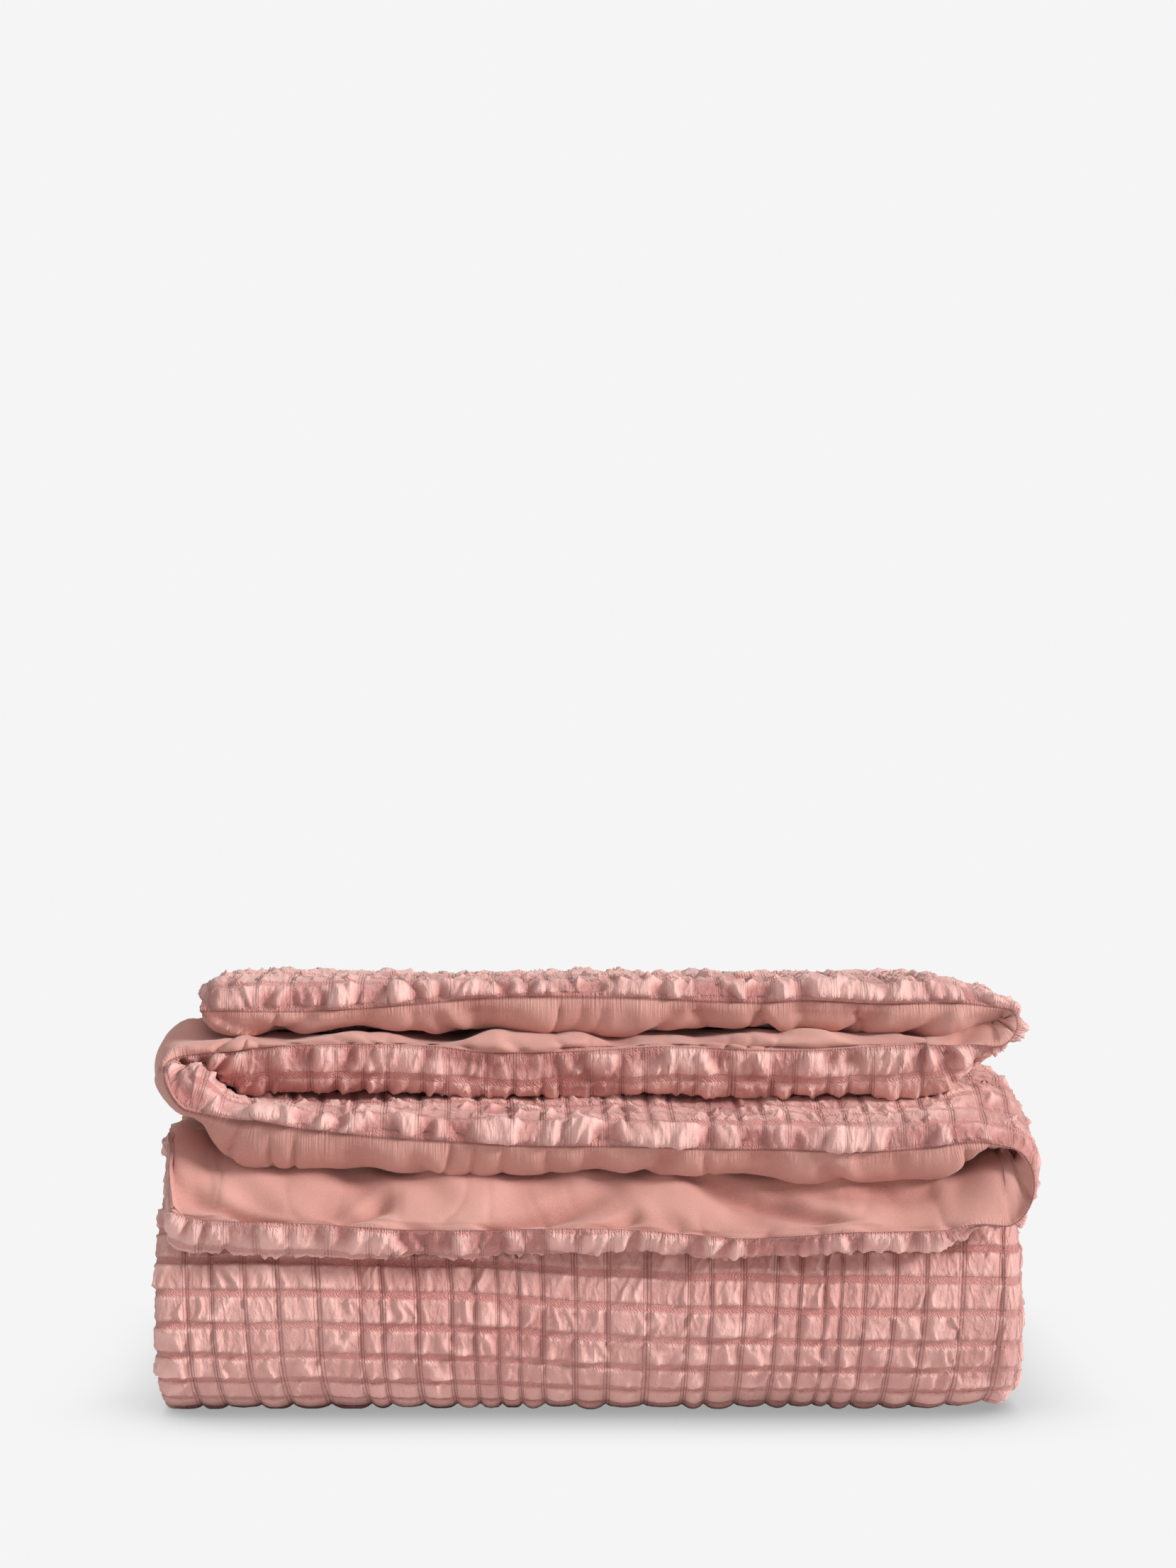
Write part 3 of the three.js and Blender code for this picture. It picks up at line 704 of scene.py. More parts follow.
# Folds where the cloth gives way: from one place to another, each as a count across the quilt and
# millimetres from the front hem, then how deep and how wide the fold is
LONG_FOLDS = [
    (6.36, 70, 6.19, 36, 9.0, 8), (6.28, 62, 6.08, 58, 6.0, 9), (6.97, 62, 6.86, 26, 7.0, 9),
    (6.82, 12, 6.74, 56, 6.0, 8), (6.62, 20, 6.47, 64, 7.0, 11), (6.50, 10, 6.44, 42, 4.5, 6),
    (0.70, 3, 0.74, 36, 5.0, 6), (0.60, 4, 0.55, 32, 3.5, 6), (0.86, 2, 0.80, 30, 4.5, 6),
    (0.94, 1, 0.88, 28, 4.5, 5), (0.30, 3, 0.35, 32, 3.5, 6), (0.15, 3, 0.10, 28, 3.5, 6),
    (2.25, 2, 2.36, 34, 4.0, 7), (2.55, 2, 2.48, 30, 3.0, 6), (4.78, 4, 4.86, 42, 5.0, 7),
    (4.60, 4, 4.52, 38, 4.0, 7), (4.28, 4, 4.36, 40, 4.0, 7), (5.25, 6, 5.42, 60, 5.0, 8),
]


def long_folds(p, q):
    """Each fold rises on one side of its line and sinks on the other: (s - 0.6) times the bell of s,
    where s is the distance from the line over the fold's width. It dies out towards both ends."""
    height = 0
    for a0, q0, a1, q1, depth, width in LONG_FOLDS:
        p0, p1 = np.interp([a0, a1], ruler_a, face["p"])
        long = math.hypot(p1 - p0, q1 - q0)
        on = ((p - p0) * (p1 - p0) + (q - q0) * (q1 - q0)) / long**2
        s = ((p - p0) * (q1 - q0) - (q - q0) * (p1 - p0)) / long / width
        kept = smooth(3 * on + 0.6) * smooth(3 * (1.2 - on))
        height = height + depth * (s - 0.6) * np.exp(-(s**2)) * kept
    return height


def plain_relief(p, q, from_seam):
    """Height over the padding: a long soft noise and the long folds, less sharp creases that fade
    from the seam."""
    wander = 16 * (noise(p / 40, q / 30, 31) - 0.5)
    creases = ridge(noise((p + wander) / 17, q / 80, 32)) ** 2 * np.exp(-from_seam / CREASE_FADES)
    small = ridge(noise((p + 0.4 * wander) / 4.6, q / 25, 33)) * np.exp(-from_seam / SMALL_FADES)
    soft = noise((p + 0.6 * q) / 42, (q - 0.4 * p) / 60, 34)
    soft = soft + 0.5 * noise((p - q) / 20, (p + q) / 36, 35)
    height = SOFT_FOLD * (soft - 0.75) - CREASE * creases - SMALL_CREASE * small + long_folds(p, q)
    # The material paints the low cloth darker, as shade, and the high cloth lighter, as light, by this
    # share of height.
    return height * smooth(from_seam / PLAIN_EDGE), np.clip((height + PLAIN_FROM) / PLAIN_RANGE, 0, 1)


print("relief of the back at a point, mm:", round(plain_relief(p, q, np.array(50.0))[0].item(), 2))

# %% Places for the points of a piece
def stations(start, end, step, rows=False, column=6.5):
    """Places from start to end, one step of cloth apart, so that the points lie evenly on it."""
    places = ruler_b if rows else ruler_a
    length = face["q"][:, int(np.argmin(np.abs(ruler_a - column)))] if rows else face["p"]
    first, last = np.interp([start, end], places, length)
    evenly = np.linspace(first, last, max(int(round((last - first) / step)), 1) + 1)
    found = np.interp(evenly, length, places)
    found[0], found[-1] = start, end
    return found


def joined(*parts):
    """Several runs of stations as one, without the doubled ends."""
    return np.concatenate([parts[0], *[part[1:] for part in parts[1:]]])


def with_margin(places, lowest, highest):
    """The same places with one more at each end, if the cloth goes on there."""
    first, last = 2 * places[0] - places[1], 2 * places[-1] - places[-2]
    before, after = int(first > lowest), int(last < highest)
    made = np.concatenate([[first] * before, places, [last] * after])
    return made, slice(before, before + len(places))


print("places in the top layer, 100 mm apart:", np.round(stations(0, 1, 100), 2))

# %% The finished surface
CURTAIN_REACH, PADDED_HEM = 17, 12  # of the front hem's folds, and what its roll adds to the length
BELOW_STARTS, BELOW_TAKES = 3.72, 0.14  # where the front fold turns under the pile
FLOOR_GAP = 0.1


def normals_of(points, side):
    """The normal at each point: the cross product of the steps to its neighbours both ways."""
    return side * unit(np.cross(np.gradient(points, axis=1), np.gradient(points, axis=0)))


def cloth_points(a, b, side):
    """The finished surface at columns a and rows b, with what the material needs to know there."""
    base = cloth(a, b, side)
    p, q, columns, rows = pattern_at(a, b)
    ends = np.minimum(p, face["p"][-1] - p)
    from_seam = np.minimum(np.minimum(q, QUILT_LENGTH + PADDED_HEM - q), ends).clip(0)
    near_hem = np.exp(-((q / CURTAIN_REACH) ** 4))
    if side > 0:
        on_top = 1 - smooth(b - 1)[:, None]
        below = smooth((b - BELOW_STARTS) / BELOW_TAKES)[:, None]
        height, lift = crinkle_relief(p, q, columns, rows, from_seam, near_hem, on_top, below)
    else:
        height, lift = plain_relief(p, q, from_seam)
    points = base + normals_of(base, side) * height[..., None]
    points[..., 2] = np.maximum(points[..., 2], low[2] + FLOOR_GAP)
    facts = {"columns": columns, "rows": rows, "p": p, "q": q, "lift": lift, "from_seam": from_seam}
    return points, facts


sample, facts = cloth_points(np.array([6.45, 6.5, 6.55]), np.array([3.45, 3.5, 3.55]), 1)
print("the front fold's middle, mm:", np.round(sample[1, 1], 1), "lift:", round(facts["lift"][1, 1], 2))

# %% From grid to mesh
def sheet_piece(name, side, a, b):
    """One piece of cloth as a grid mesh, with two UV maps and two attributes for its material."""
    wide_a, in_a = with_margin(a, 0, ACROSS)
    wide_b, in_b = with_margin(b, 0, ALONG)
    points, facts = cloth_points(wide_a, wide_b, side)
    normals = normals_of(points, side)[in_b, in_a].reshape(-1, 3)
    points = (points[in_b, in_a] - to_frame) / 1000
    facts = {key: value[in_b, in_a].ravel() for key, value in facts.items()}
    count = np.arange(len(a) * len(b)).reshape(len(b), len(a))
    corners = [count[:-1, :-1], count[:-1, 1:], count[1:, 1:], count[1:, :-1]]
    quads = np.stack(corners if side > 0 else corners[::-1], 2).reshape(-1, 4)
    mesh = bpy.data.meshes.new(name)
    mesh.from_pydata(points.reshape(-1, 3), [], quads)
    for label, u, v in [("cells", "columns", "rows"), ("cloth", "p", "q")]:
        uv = np.stack([facts[u], facts[v]], 1)[quads.ravel()]
        uv = uv if label == "cells" else uv / 1000
        mesh.uv_layers.new(name=label).data.foreach_set("uv", uv.astype(np.float32).ravel())
    # The materials paint shade on low cloth and light on high cloth by lift, the share of height;
    # from_seam also places the painted seam shadow.
    for label in ("lift", "from_seam"):
        values = mesh.attributes.new(label, "FLOAT", "POINT")
        values.data.foreach_set("value", facts[label].astype(np.float32))
    mesh.shade_smooth()
    mesh.normals_split_custom_set_from_vertices(normals.tolist())
    piece = bpy.data.objects.new(name, mesh)
    bpy.context.scene.collection.objects.link(piece)
    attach(piece, "root")
    return piece


# %% [markdown]
# ## Cutting the cloth into pieces
# One mesh of the whole face, fine enough for its wrinkles, would be far too heavy. So each cloth is
# laid out in pieces: fine ones where it shows and coarse ones inside the pile. Neighbours share the
# same functions, and meet in a band or out of sight. Each piece below has its places across the
# quilt and then along it, a run of them as its start, its end and the step in millimetres.

# %% Where the hem pieces end
TOP_COLUMN, LOWER_COLUMN = 0.5, 6.5  # where the rows of the top pass and the lower ones are measured
HEM_END = 4 * ROW  # in the fourth band, where the join doesn't show
top_q = face["q"][:, int(np.argmin(np.abs(ruler_a - TOP_COLUMN)))]
hem_b = float(np.interp(HEM_END, top_q, ruler_b))
print("the hem pieces end at row place:", round(hem_b, 3))

# %% The pieces of the crinkle face
crinkle_pieces, plain_pieces = [], []


def crinkle_piece(name, columns, rows):
    """A sheet of the face, for the material that it gets."""
    crinkle_pieces.append(sheet_piece(name, 1, columns, rows))


crinkle_piece("crinkle_hem", stations(0, 7, 1.45), stations(0, hem_b, 1.45, True, TOP_COLUMN))
crinkle_piece("crinkle_top", stations(0, 2.1, 2.1), stations(hem_b, 1, 2.1, True, TOP_COLUMN))
crinkle_piece("crinkle_back_fold", stations(0, 2.1, 2.9), stations(1, 2.3, 2.9, True, TOP_COLUMN))
crinkle_piece(
    "crinkle_inside_top", joined(stations(2.1, 4.9, 14), stations(4.9, 6.1, 2.5), stations(6.1, 7, 9)),
    stations(hem_b, 2.3, 3.2, True, TOP_COLUMN))
crinkle_piece(
    "crinkle_front_fold", stations(5.95, 7, 1.3), stations(2.96, 4.06, 1.35, True, LOWER_COLUMN))
crinkle_piece(
    "crinkle_second_pass", joined(stations(4.9, 6.1, 3.2), stations(6.1, 7, 7)),
    stations(2.3, 2.96, 4, True, LOWER_COLUMN))
crinkle_piece(
    "crinkle_fold_corner", stations(4.9, 5.95, 2.6), stations(2.96, 4.2, 2.6, True, LOWER_COLUMN))
crinkle_piece(
    "crinkle_inside_fold",
    joined(stations(0, 0.9, 14), stations(0.9, 2.1, 3.4), stations(2.1, 4.9, 14)),
    stations(2.3, 4.2, 4, True, LOWER_COLUMN))
crinkle_piece("crinkle_underside", stations(5.95, 7, 4), stations(4.06, 5, 4, True, LOWER_COLUMN))
crinkle_piece("crinkle_under_layers", stations(0, 5.95, 7), stations(4.2, 5, 5, True, LOWER_COLUMN))
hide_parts("crinkle_face")

# %% The pieces of the plain back
def plain_piece(name, columns, rows):
    """A sheet of the back."""
    plain_pieces.append(sheet_piece(name, -1, columns, rows))


plain_piece("plain_hem", stations(0, 7, 1.7), stations(0, hem_b, 1.9, True, TOP_COLUMN))
plain_piece(
    "plain_inside", joined(stations(0, 2.8, 13), stations(2.8, 4.1, 3), stations(4.1, 7, 10)),
    stations(hem_b, 5, 6, True, 2.5))
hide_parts("plain_back")

# %% [markdown]
# ## Shader groups for cloth
# Both cloths have threads, fuzz and a sewn edge. Each of these effects is a node group with named
# inputs, so that the two materials can share it and only set their own values.

# %% Small helpers for nodes
def feed(tree, socket, value):
    """Links another node's output to a socket, or sets the socket to a number or a colour."""
    if isinstance(value, bpy.types.NodeSocket):
        tree.links.new(value, socket)
    else:
        socket.default_value = value


def node(tree, kind, **inputs):
    """A node of that kind, with inputs set or linked by name. Names that start with a capital are
    sockets, I0 being the first one, and the others are the node's own settings."""
    made = tree.nodes.new(kind)
    for key, value in inputs.items():
        if key[0].islower():
            setattr(made, key, value)
    for key, value in inputs.items():
        if key[0].isupper():
            socket = int(key[1:]) if key[1:].isdigit() else key.replace("_", " ")
            feed(tree, made.inputs[socket], value)
    return made


def math_node(tree, operation, *values):
    """A Math node: its inputs are numbers or other nodes' outputs."""
    inputs = {f"I{i}": value for i, value in enumerate(values)}
    return node(tree, "ShaderNodeMath", operation=operation, **inputs).outputs[0]


# %% Sums and curves of nodes
def times(tree, one, other):
    """The product of two numbers or outputs."""
    return math_node(tree, "MULTIPLY", one, other)


def plus(tree, one, other):
    """Their sum."""
    return math_node(tree, "ADD", one, other)


def away_from(tree, value, centre):
    """How far a value is from a number: the difference without its sign."""
    return math_node(tree, "ABSOLUTE", math_node(tree, "SUBTRACT", value, centre))


def eased(tree, value, low, high, first=0.0, last=1.0):
    """Runs smoothly from first to last as the value goes from low to high."""
    return node(
        tree, "ShaderNodeMapRange", interpolation_type="SMOOTHSTEP", Value=value,
        From_Min=low, From_Max=high, To_Min=first, To_Max=last).outputs[0]


# %% A new node group
def group(name, inputs, outputs):
    """An empty node group with these sockets: name to (kind, default), and name to kind."""
    made = bpy.data.node_groups.new(name, "ShaderNodeTree")
    for label, (kind, default) in inputs.items():
        socket = made.interface.new_socket(label, in_out="INPUT", socket_type=f"NodeSocket{kind}")
        if default is not None:
            socket.default_value = default
    for label, kind in outputs.items():
        made.interface.new_socket(label, in_out="OUTPUT", socket_type=f"NodeSocket{kind}")
    return made, made.nodes.new("NodeGroupInput").outputs, made.nodes.new("NodeGroupOutput").inputs


# %% Threads: a plain weave with slubs
TURN = 2 * math.pi
threads, given, out = group(
    "threads",
    {"Cloth": ("Vector", None), "Pitch": ("Float", 0.7), "Slubs": ("Float", 0.4)},
    {"Height": "Float"},
)
place = node(threads, "ShaderNodeSeparateXYZ", I0=given["Cloth"]).outputs
waves = []
for way in (0, 1):
    turns = math_node(threads, "DIVIDE", place[way], given["Pitch"])
    waves.append(math_node(threads, "SINE", times(threads, turns, TURN)))
weave = times(threads, waves[0], waves[1])
stretched = node(threads, "ShaderNodeMapping", Vector=given["Cloth"], Scale=(0.12, 1.4, 1)).outputs[0]
slub = node(threads, "ShaderNodeTexNoise", Vector=stretched, Scale=1.0, Detail=2.0).outputs[0]
raised = times(threads, slub, given["Slubs"])
threads.links.new(plus(threads, times(threads, weave, 0.5), raised), out["Height"])
print("group:", threads.name)

# %% Fuzz: the fine brushed fibres
fuzz, given, out = group(
    "fuzz",
    {"Position": ("Vector", None), "Size": ("Float", 0.8)},
    {"Value": "Float"},
)
finer = math_node(fuzz, "DIVIDE", 1.0, given["Size"])
scaled = node(
    fuzz, "ShaderNodeVectorMath", operation="SCALE", I0=given["Position"], Scale=finer).outputs[0]
speckle = node(
    fuzz, "ShaderNodeTexNoise", Vector=scaled, Scale=1.0, Detail=3.0, Roughness=0.7).outputs[0]
fuzz.links.new(speckle, out["Value"])
print("group:", fuzz.name)

# %% Sewn edge: a painted shadow along the seam's groove and the small gathers beside it
sewn_edge, given, out = group(
    "sewn_edge",
    {"From Seam": ("Float", 10.0), "Cloth": ("Vector", None), "Gathers": ("Float", 1.0),
     "Reach": ("Float", 8.0)},
    {"Shadow": "Float", "Height": "Float"},
)
# Shadow is painted shade: 1 within 0.15 mm of the seam and fading to 0 at 1 mm, where the seam's groove
# lies in shade.
sewn_edge.links.new(eased(sewn_edge, given["From Seam"], 0.15, 1.0, 1.0, 0.0), out["Shadow"])
squeezed = node(sewn_edge, "ShaderNodeMapping", Vector=given["Cloth"], Scale=(0.75, 0.09, 1)).outputs[0]
gather = node(sewn_edge, "ShaderNodeTexNoise", Vector=squeezed, Scale=1.0, Detail=1.5).outputs[0]
share = math_node(sewn_edge, "DIVIDE", given["From Seam"], given["Reach"])
fading = math_node(sewn_edge, "MAXIMUM", math_node(sewn_edge, "SUBTRACT", 1.0, share), 0.0)
strength = times(sewn_edge, fading, given["Gathers"])
sewn_edge.links.new(times(sewn_edge, gather, strength), out["Height"])
print("group:", sewn_edge.name)

# %% Crinkle grid: the bands and the double lines
RIB = 1.8  # from one of the threads of a double line to the next
crinkle_grid, given, out = group(
    "crinkle_grid",
    {"Cells": ("Vector", None), "Cloth": ("Vector", None)},
    {"Band": "Float", "Line": "Float", "Height": "Float"},
)
cells = node(crinkle_grid, "ShaderNodeSeparateXYZ", I0=given["Cells"]).outputs
place = node(crinkle_grid, "ShaderNodeSeparateXYZ", I0=given["Cloth"]).outputs


def from_whole(value, size):
    """How far a count is from the nearest whole number, as a length."""
    part = math_node(crinkle_grid, "FRACT", plus(crinkle_grid, value, 0.5))
    return times(crinkle_grid, away_from(crinkle_grid, part, 0.5), size)


from_line, from_band = from_whole(cells[0], COLUMN), from_whole(cells[1], ROW)
band = eased(crinkle_grid, from_band, 1.9, 2.8, 1.0, 0.0)
crinkle_grid.links.new(band, out["Band"])
ribs = math_node(crinkle_grid, "COSINE", times(crinkle_grid, from_line, TURN / RIB))
at_line = eased(crinkle_grid, from_line, 1.5, 2.3, 1.0, 0.0)
dark_lines = times(crinkle_grid, eased(crinkle_grid, ribs, 0.1, 0.9), at_line)
crinkle_grid.links.new(dark_lines, out["Line"])
print("group:", crinkle_grid.name, "with bands and lines")

# %% Crinkle grid: slanted pleats beside the bands
PLEAT_HEIGHT = 0.16
wander = node(
    crinkle_grid, "ShaderNodeTexNoise", Vector=given["Cloth"], Scale=0.22, Detail=2.0).outputs[0]
slanted = times(crinkle_grid, from_band, 0.5)
phase = plus(crinkle_grid, times(crinkle_grid, place[0], 0.5), slanted)
phase = plus(crinkle_grid, phase, times(crinkle_grid, wander, 3.4))
slants = math_node(crinkle_grid, "SINE", times(crinkle_grid, phase, TURN))
beside = eased(crinkle_grid, from_band, 2.2, 5.0, 1.0, 0.0)
pleats = times(crinkle_grid, slants, times(crinkle_grid, beside, PLEAT_HEIGHT))
print("pleats, mm high:", PLEAT_HEIGHT)

# %% Crinkle grid: upright creases, coarse and fine
COARSE_CREASE, FINE_CREASE, LINE_CUT = 0.5, 0.12, 0.35


def sharp_creases(pitch, length, seed):
    """Upright crests: a noise stretched along the columns, 1 where it crosses its middle."""
    upright = node(
        crinkle_grid, "ShaderNodeMapping", Vector=given["Cloth"], Location=(seed, seed, 0),
        Scale=(1 / pitch, 1 / length, 1)).outputs[0]
    field = node(crinkle_grid, "ShaderNodeTexNoise", Vector=upright, Scale=1.0, Detail=1.0).outputs[0]
    return eased(crinkle_grid, away_from(crinkle_grid, field, 0.5), 0.0, 0.2, 1.0, 0.0)


coarse = times(crinkle_grid, sharp_creases(6.0, 14, 3.7), COARSE_CREASE)
fine_creases = times(crinkle_grid, sharp_creases(2.4, 5, 8.1), FINE_CREASE)
loose = math_node(crinkle_grid, "SUBTRACT", 1.0, band)
creases = times(crinkle_grid, plus(crinkle_grid, coarse, fine_creases), loose)
height = plus(crinkle_grid, pleats, creases)
cut = times(crinkle_grid, dark_lines, LINE_CUT)
crinkle_grid.links.new(math_node(crinkle_grid, "SUBTRACT", height, cut), out["Height"])
print("nodes in the crinkle grid:", len(crinkle_grid.nodes))

# %% [markdown]
# ## The two materials
# The crinkle cloth is a washed cotton blend with a faint lustre on its puffs, and deeper in colour
# where it is tight. The back is brushed and matt, with a soft sheen. Lengths are in millimetres in
# both, so that a pitch or a depth can be set as it would be measured.

# %% What both materials read
def cloth_inputs(tree):
    """The cloth's place in millimetres, the pattern's count, and the two attributes of a piece."""
    cloth_uv = node(tree, "ShaderNodeUVMap", uv_map="cloth").outputs[0]
    cells_uv = node(tree, "ShaderNodeUVMap", uv_map="cells").outputs[0]
    in_mm = node(tree, "ShaderNodeVectorMath", operation="SCALE", I0=cloth_uv, Scale=1000.0).outputs[0]
    lift = node(tree, "ShaderNodeAttribute", attribute_name="lift").outputs["Fac"]
    from_seam = node(tree, "ShaderNodeAttribute", attribute_name="from_seam").outputs["Fac"]
    spot = node(tree, "ShaderNodeTexCoord").outputs["Object"]
    spot_mm = node(tree, "ShaderNodeVectorMath", operation="SCALE", I0=spot, Scale=1000.0).outputs[0]
    return in_mm, cells_uv, lift, from_seam, spot_mm


def new_material(name):
    """A material with a plain shader, and its node tree."""
    made = bpy.data.materials.new(name)
    made.use_nodes = True
    return made, made.node_tree


def use(tree, made_group, **inputs):
    """A group placed in a material, with its inputs set or linked."""
    placed = tree.nodes.new("ShaderNodeGroup")
    placed.node_tree = made_group
    for key, value in inputs.items():
        feed(tree, placed.inputs[key.replace("_", " ")], value)
    return placed.outputs


# %% Colours
def linear(value):
    """A screen value, 0 to 255, as light: the curve of screens, straight up to 10 and then a power."""
    return value / 255 / 12.92 if value <= 10 else ((value / 255 + 0.055) / 1.055) ** 2.4


def rgb(red, green, blue):
    """A colour given as it looks on screen, as the linear numbers that a shader takes."""
    return (linear(red), linear(green), linear(blue), 1)


def blend_colour(tree, share, first, second):
    """Two colours mixed by a share, from 0 to 1. The colours are inputs 6 and 7 of a Mix node."""
    return node(tree, "ShaderNodeMix", data_type="RGBA", I0=share, I6=first, I7=second).outputs[2]


def colours_and_painted_shade(tree, colour, layers):
    """Colour over colour: each layer is how much of it shows, and its own colour."""
    # Some layers are painted shade, such as the seam's shadow, and others are the cloth's own colours.
    for share, over in layers:
        colour = blend_colour(tree, share, colour, over)
    return colour


print("a screen grey of 128 as light:", round(linear(128), 3))

# %% Relief and sheen
SHEEN, SHEEN_SPREAD = 0.4, 0.4


def finish_cloth(material, pieces, colour, roughness, tint, relief):
    """Gives a cloth's shader its colour, its roughness, a sheen of that tint and the relief, in
    millimetres, as a bump. Then it puts the material on the pieces."""
    tree = material.node_tree
    shader = tree.nodes["Principled BSDF"]
    tree.links.new(colour, shader.inputs["Base Color"])
    tree.links.new(roughness, shader.inputs["Roughness"])
    shader.inputs["Sheen Weight"].default_value = SHEEN
    shader.inputs["Sheen Roughness"].default_value = SHEEN_SPREAD
    shader.inputs["Sheen Tint"].default_value = tint
    bump = node(tree, "ShaderNodeBump", Strength=1.0, Distance=0.001, Height=relief)
    tree.links.new(bump.outputs[0], shader.inputs["Normal"])
    for piece in pieces:
        piece.data.materials.append(material)
    print("material:", material.name, "pieces:", len(pieces))


# %% Material of the crinkle face: painted shade on low cloth and a painted highlight on high cloth, then bands, lines, painted seam shadow, faded patches and fuzz
crinkle_cloth, tree = new_material("crinkle_cloth")
in_mm, cells_uv, lift, from_seam, spot = cloth_inputs(tree)
grid = use(tree, crinkle_grid, Cells=cells_uv, Cloth=in_mm)
weave = use(tree, threads, Cloth=in_mm, Pitch=0.9, Slubs=0.5)
fibres = use(tree, fuzz, Position=spot, Size=0.9)
edge = use(tree, sewn_edge, From_Seam=from_seam, Cloth=in_mm, Gathers=2.6, Reach=9.0)
tone = node(tree, "ShaderNodeTexNoise", Vector=spot, Scale=0.012, Detail=3.0).outputs[0]
LINE_AT_SEAM, LINE_INSIDE = 0.15, 0.8  # how strongly the lines show there
line_share = eased(tree, from_seam, 8.0, 28.0, LINE_AT_SEAM, LINE_INSIDE)
# Painted light: the base runs from a darker colour on the lowest cloth to a lighter one on the highest,
# as shade in the hollows and a highlight on the crests.
colour = colours_and_painted_shade(tree, blend_colour(tree, lift, rgb(182, 114, 108), rgb(236, 184, 175)), [
    (times(tree, grid["Band"], 0.7), rgb(200, 126, 120)),
    (times(tree, grid["Line"], line_share), rgb(150, 80, 74)),
    # shade painted along the seam's groove
    (times(tree, edge["Shadow"], 0.6), rgb(128, 72, 66)),
    (eased(tree, tone, 0.35, 0.7, 0.0, 0.25), rgb(228, 184, 174)),
    (eased(tree, fibres["Value"], 0.45, 0.75, 0.0, 0.25), rgb(238, 202, 194)),
])
roughness = eased(tree, grid["Band"], 0.0, 1.0, 0.58, 0.85)
fine = plus(tree, times(tree, weave["Height"], 0.04), times(tree, fibres["Value"], 0.4))
relief = plus(tree, plus(tree, grid["Height"], edge["Height"]), fine)
finish_cloth(crinkle_cloth, crinkle_pieces, colour, roughness, (1, 0.9, 0.86, 1), relief)

# %% Material of the plain back: painted shade on low cloth and painted light on high cloth, then fuzz, faded patches and painted seam shadow
plain_cloth, tree = new_material("plain_cloth")
in_mm, cells_uv, lift, from_seam, spot = cloth_inputs(tree)
weave = use(tree, threads, Cloth=in_mm, Pitch=0.7, Slubs=0.3)
fibres = use(tree, fuzz, Position=spot, Size=0.8)
edge = use(tree, sewn_edge, From_Seam=from_seam, Cloth=in_mm, Gathers=1.3, Reach=8.0)
tone = node(tree, "ShaderNodeTexNoise", Vector=spot, Scale=0.010, Detail=3.0).outputs[0]
# Painted light: the base runs from a darker colour on the lowest cloth, as shade in its creases, to a
# lighter one on the highest.
colour = colours_and_painted_shade(tree, blend_colour(tree, lift, rgb(186, 124, 114), rgb(210, 154, 143)), [
    (eased(tree, fibres["Value"], 0.42, 0.72, 0.0, 0.3), rgb(230, 186, 174)),
    (eased(tree, tone, 0.35, 0.7, 0.0, 0.2), rgb(226, 176, 162)),
    # shade painted along the seam's groove
    (times(tree, edge["Shadow"], 0.7), rgb(118, 64, 56)),
])
roughness = eased(tree, fibres["Value"], 0.3, 0.7, 0.78, 0.92)
fine = plus(tree, times(tree, weave["Height"], 0.06), times(tree, fibres["Value"], 0.22))
relief = plus(tree, fine, edge["Height"])
finish_cloth(plain_cloth, plain_pieces, colour, roughness, (1, 0.88, 0.83, 1), relief)

# %% [markdown]
# ## Floor, light and camera
# The pile lies on a pale seamless floor, which melts into an equally pale background. Such a floor
# could be lit until it looks right, but then every change of a light changes it too. Here the camera
# sees it as bright as the background, darkened only where the pile keeps the light off, and the
# cloth still gets the light that a pale floor throws back.
#
# One light comes from the right, low enough to draw every wrinkle, and a wide soft one from above
# reaches into the folds. The camera stands level, a little higher than the pile, and looks straight
# at its front with a long lens.

# %% Floor
BACKGROUND = rgb(245, 245, 245)
DEEP_SHADOW = (0.12, 0.12, 0.12, 1)
SHADOW_REACH = 0.11  # how far the pile darkens the floor beside it, metres
FLOOR_SIDE, FLOOR_FRONT, FLOOR_BACK = 8, -6, 12  # metres
corners = [(-FLOOR_SIDE, FLOOR_FRONT, 0), (FLOOR_SIDE, FLOOR_FRONT, 0),
           (FLOOR_SIDE, FLOOR_BACK, 0), (-FLOOR_SIDE, FLOOR_BACK, 0)]
floor_mesh = bpy.data.meshes.new("floor")
floor_mesh.from_pydata(corners, [], [(0, 1, 2, 3)])
floor = bpy.data.objects.new("floor", floor_mesh)
bpy.context.scene.collection.objects.link(floor)
print("floor, m:", 2 * FLOOR_SIDE, "by", FLOOR_BACK - FLOOR_FRONT)

# %% The floor's paint
def for_camera(tree, others_see, camera_sees, surface):
    """Two shaders on one output: the second for what the camera sees, the first for all light."""
    seen = node(tree, "ShaderNodeLightPath").outputs["Is Camera Ray"]
    either = node(tree, "ShaderNodeMixShader", I0=seen, I1=others_see, I2=camera_sees)
    tree.links.new(either.outputs[0], surface)


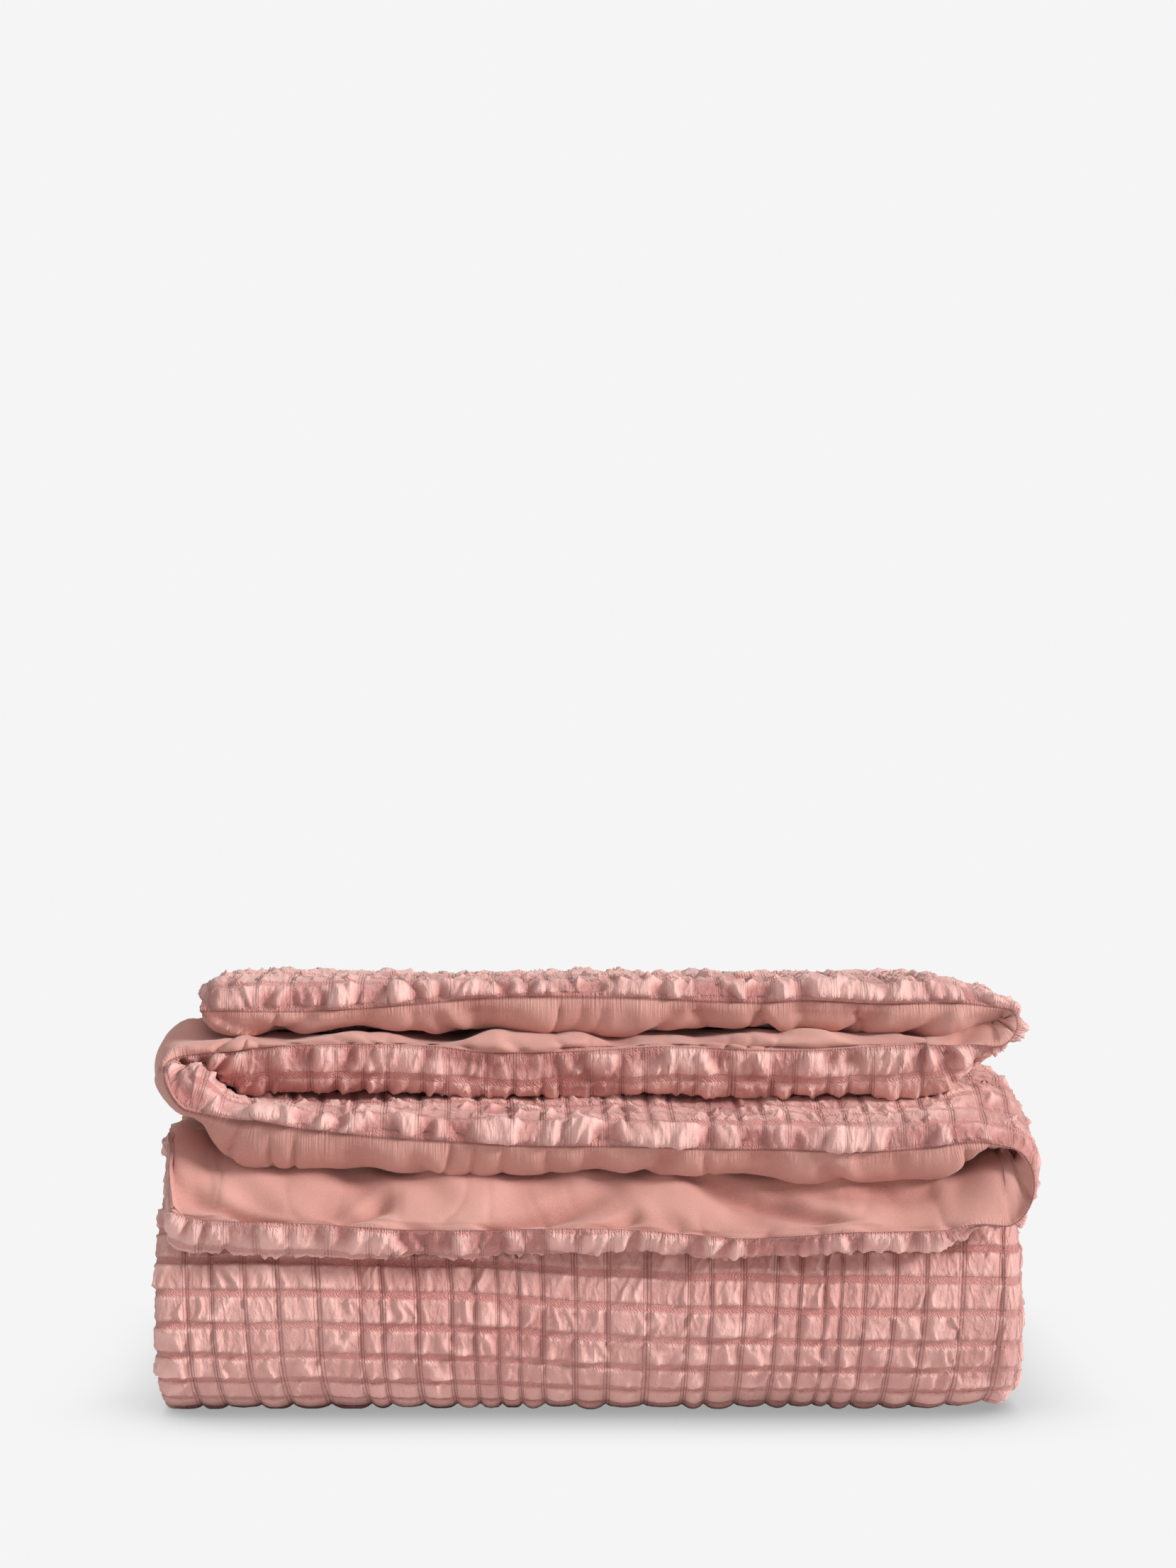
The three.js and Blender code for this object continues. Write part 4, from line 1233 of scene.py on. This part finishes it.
floor_paint, tree = new_material("floor_paint")
shader = tree.nodes["Principled BSDF"]
shader.inputs["Base Color"].default_value = (0.9, 0.9, 0.9, 1)
shader.inputs["Roughness"].default_value = 1.0
shader.inputs["Specular IOR Level"].default_value = 0.0
open_sky = node(tree, "ShaderNodeAmbientOcclusion", samples=24, Distance=SHADOW_REACH).outputs["AO"]
shade = eased(tree, open_sky, 0.0, 1.0, 0.3, 1.0)
seen_colour = blend_colour(tree, shade, DEEP_SHADOW, BACKGROUND)
glow = node(tree, "ShaderNodeEmission", Color=seen_colour, Strength=1.0)
for_camera(tree, shader.outputs[0], glow.outputs[0], tree.nodes["Material Output"].inputs["Surface"])
floor_mesh.materials.append(floor_paint)
print("material:", floor_paint.name)

# %% World
SOFT_LIGHT = 0.26  # how bright the studio is on the cloth, where the backdrop seen is 1
world = bpy.data.worlds.new("studio")
bpy.context.scene.world = world
world.use_nodes = True
tree = world.node_tree
backdrop = tree.nodes["Background"]
backdrop.inputs["Color"].default_value = BACKGROUND
fill = node(tree, "ShaderNodeBackground", Color=(1, 0.96, 0.94, 1), Strength=SOFT_LIGHT)
for_camera(tree, fill.outputs[0], backdrop.outputs[0], tree.nodes["World Output"].inputs["Surface"])
bpy.context.scene.view_settings.view_transform = "Standard"
print("world:", world.name)

# %% Lights
def sun(name, direction, strength, softness):
    """A light from far away, from that direction, as wide in degrees as the softness says."""
    light = bpy.data.lights.new(name, "SUN")
    light.energy, light.angle = strength, math.radians(softness)
    made = bpy.data.objects.new(name, light)
    bpy.context.scene.collection.objects.link(made)
    made.rotation_euler = Vector(direction).to_track_quat("Z", "Y").to_euler()


sun("key", (0.85, -0.36, 0.42), 3.3, 14)
sun("overhead", (-0.25, -0.40, 0.88), 0.9, 80)

# %% Camera
CAMERA_AWAY, CAMERA_HEIGHT = 2288, 398  # in front of the lowest hem and over the floor, millimetres
LENS, SENSOR = 85, 36
camera = bpy.data.objects.new("camera", bpy.data.cameras.new("camera"))
bpy.context.scene.collection.objects.link(camera)
camera.data.lens, camera.data.sensor_width = LENS, SENSOR
camera.location = (np.array([0, -CAMERA_AWAY, CAMERA_HEIGHT]) - to_frame * [1, 1, 0]) / 1000
camera.rotation_euler = (math.pi / 2, 0, 0)
bpy.context.scene.camera = camera
print("camera at, m:", [round(place, 3) for place in camera.location])
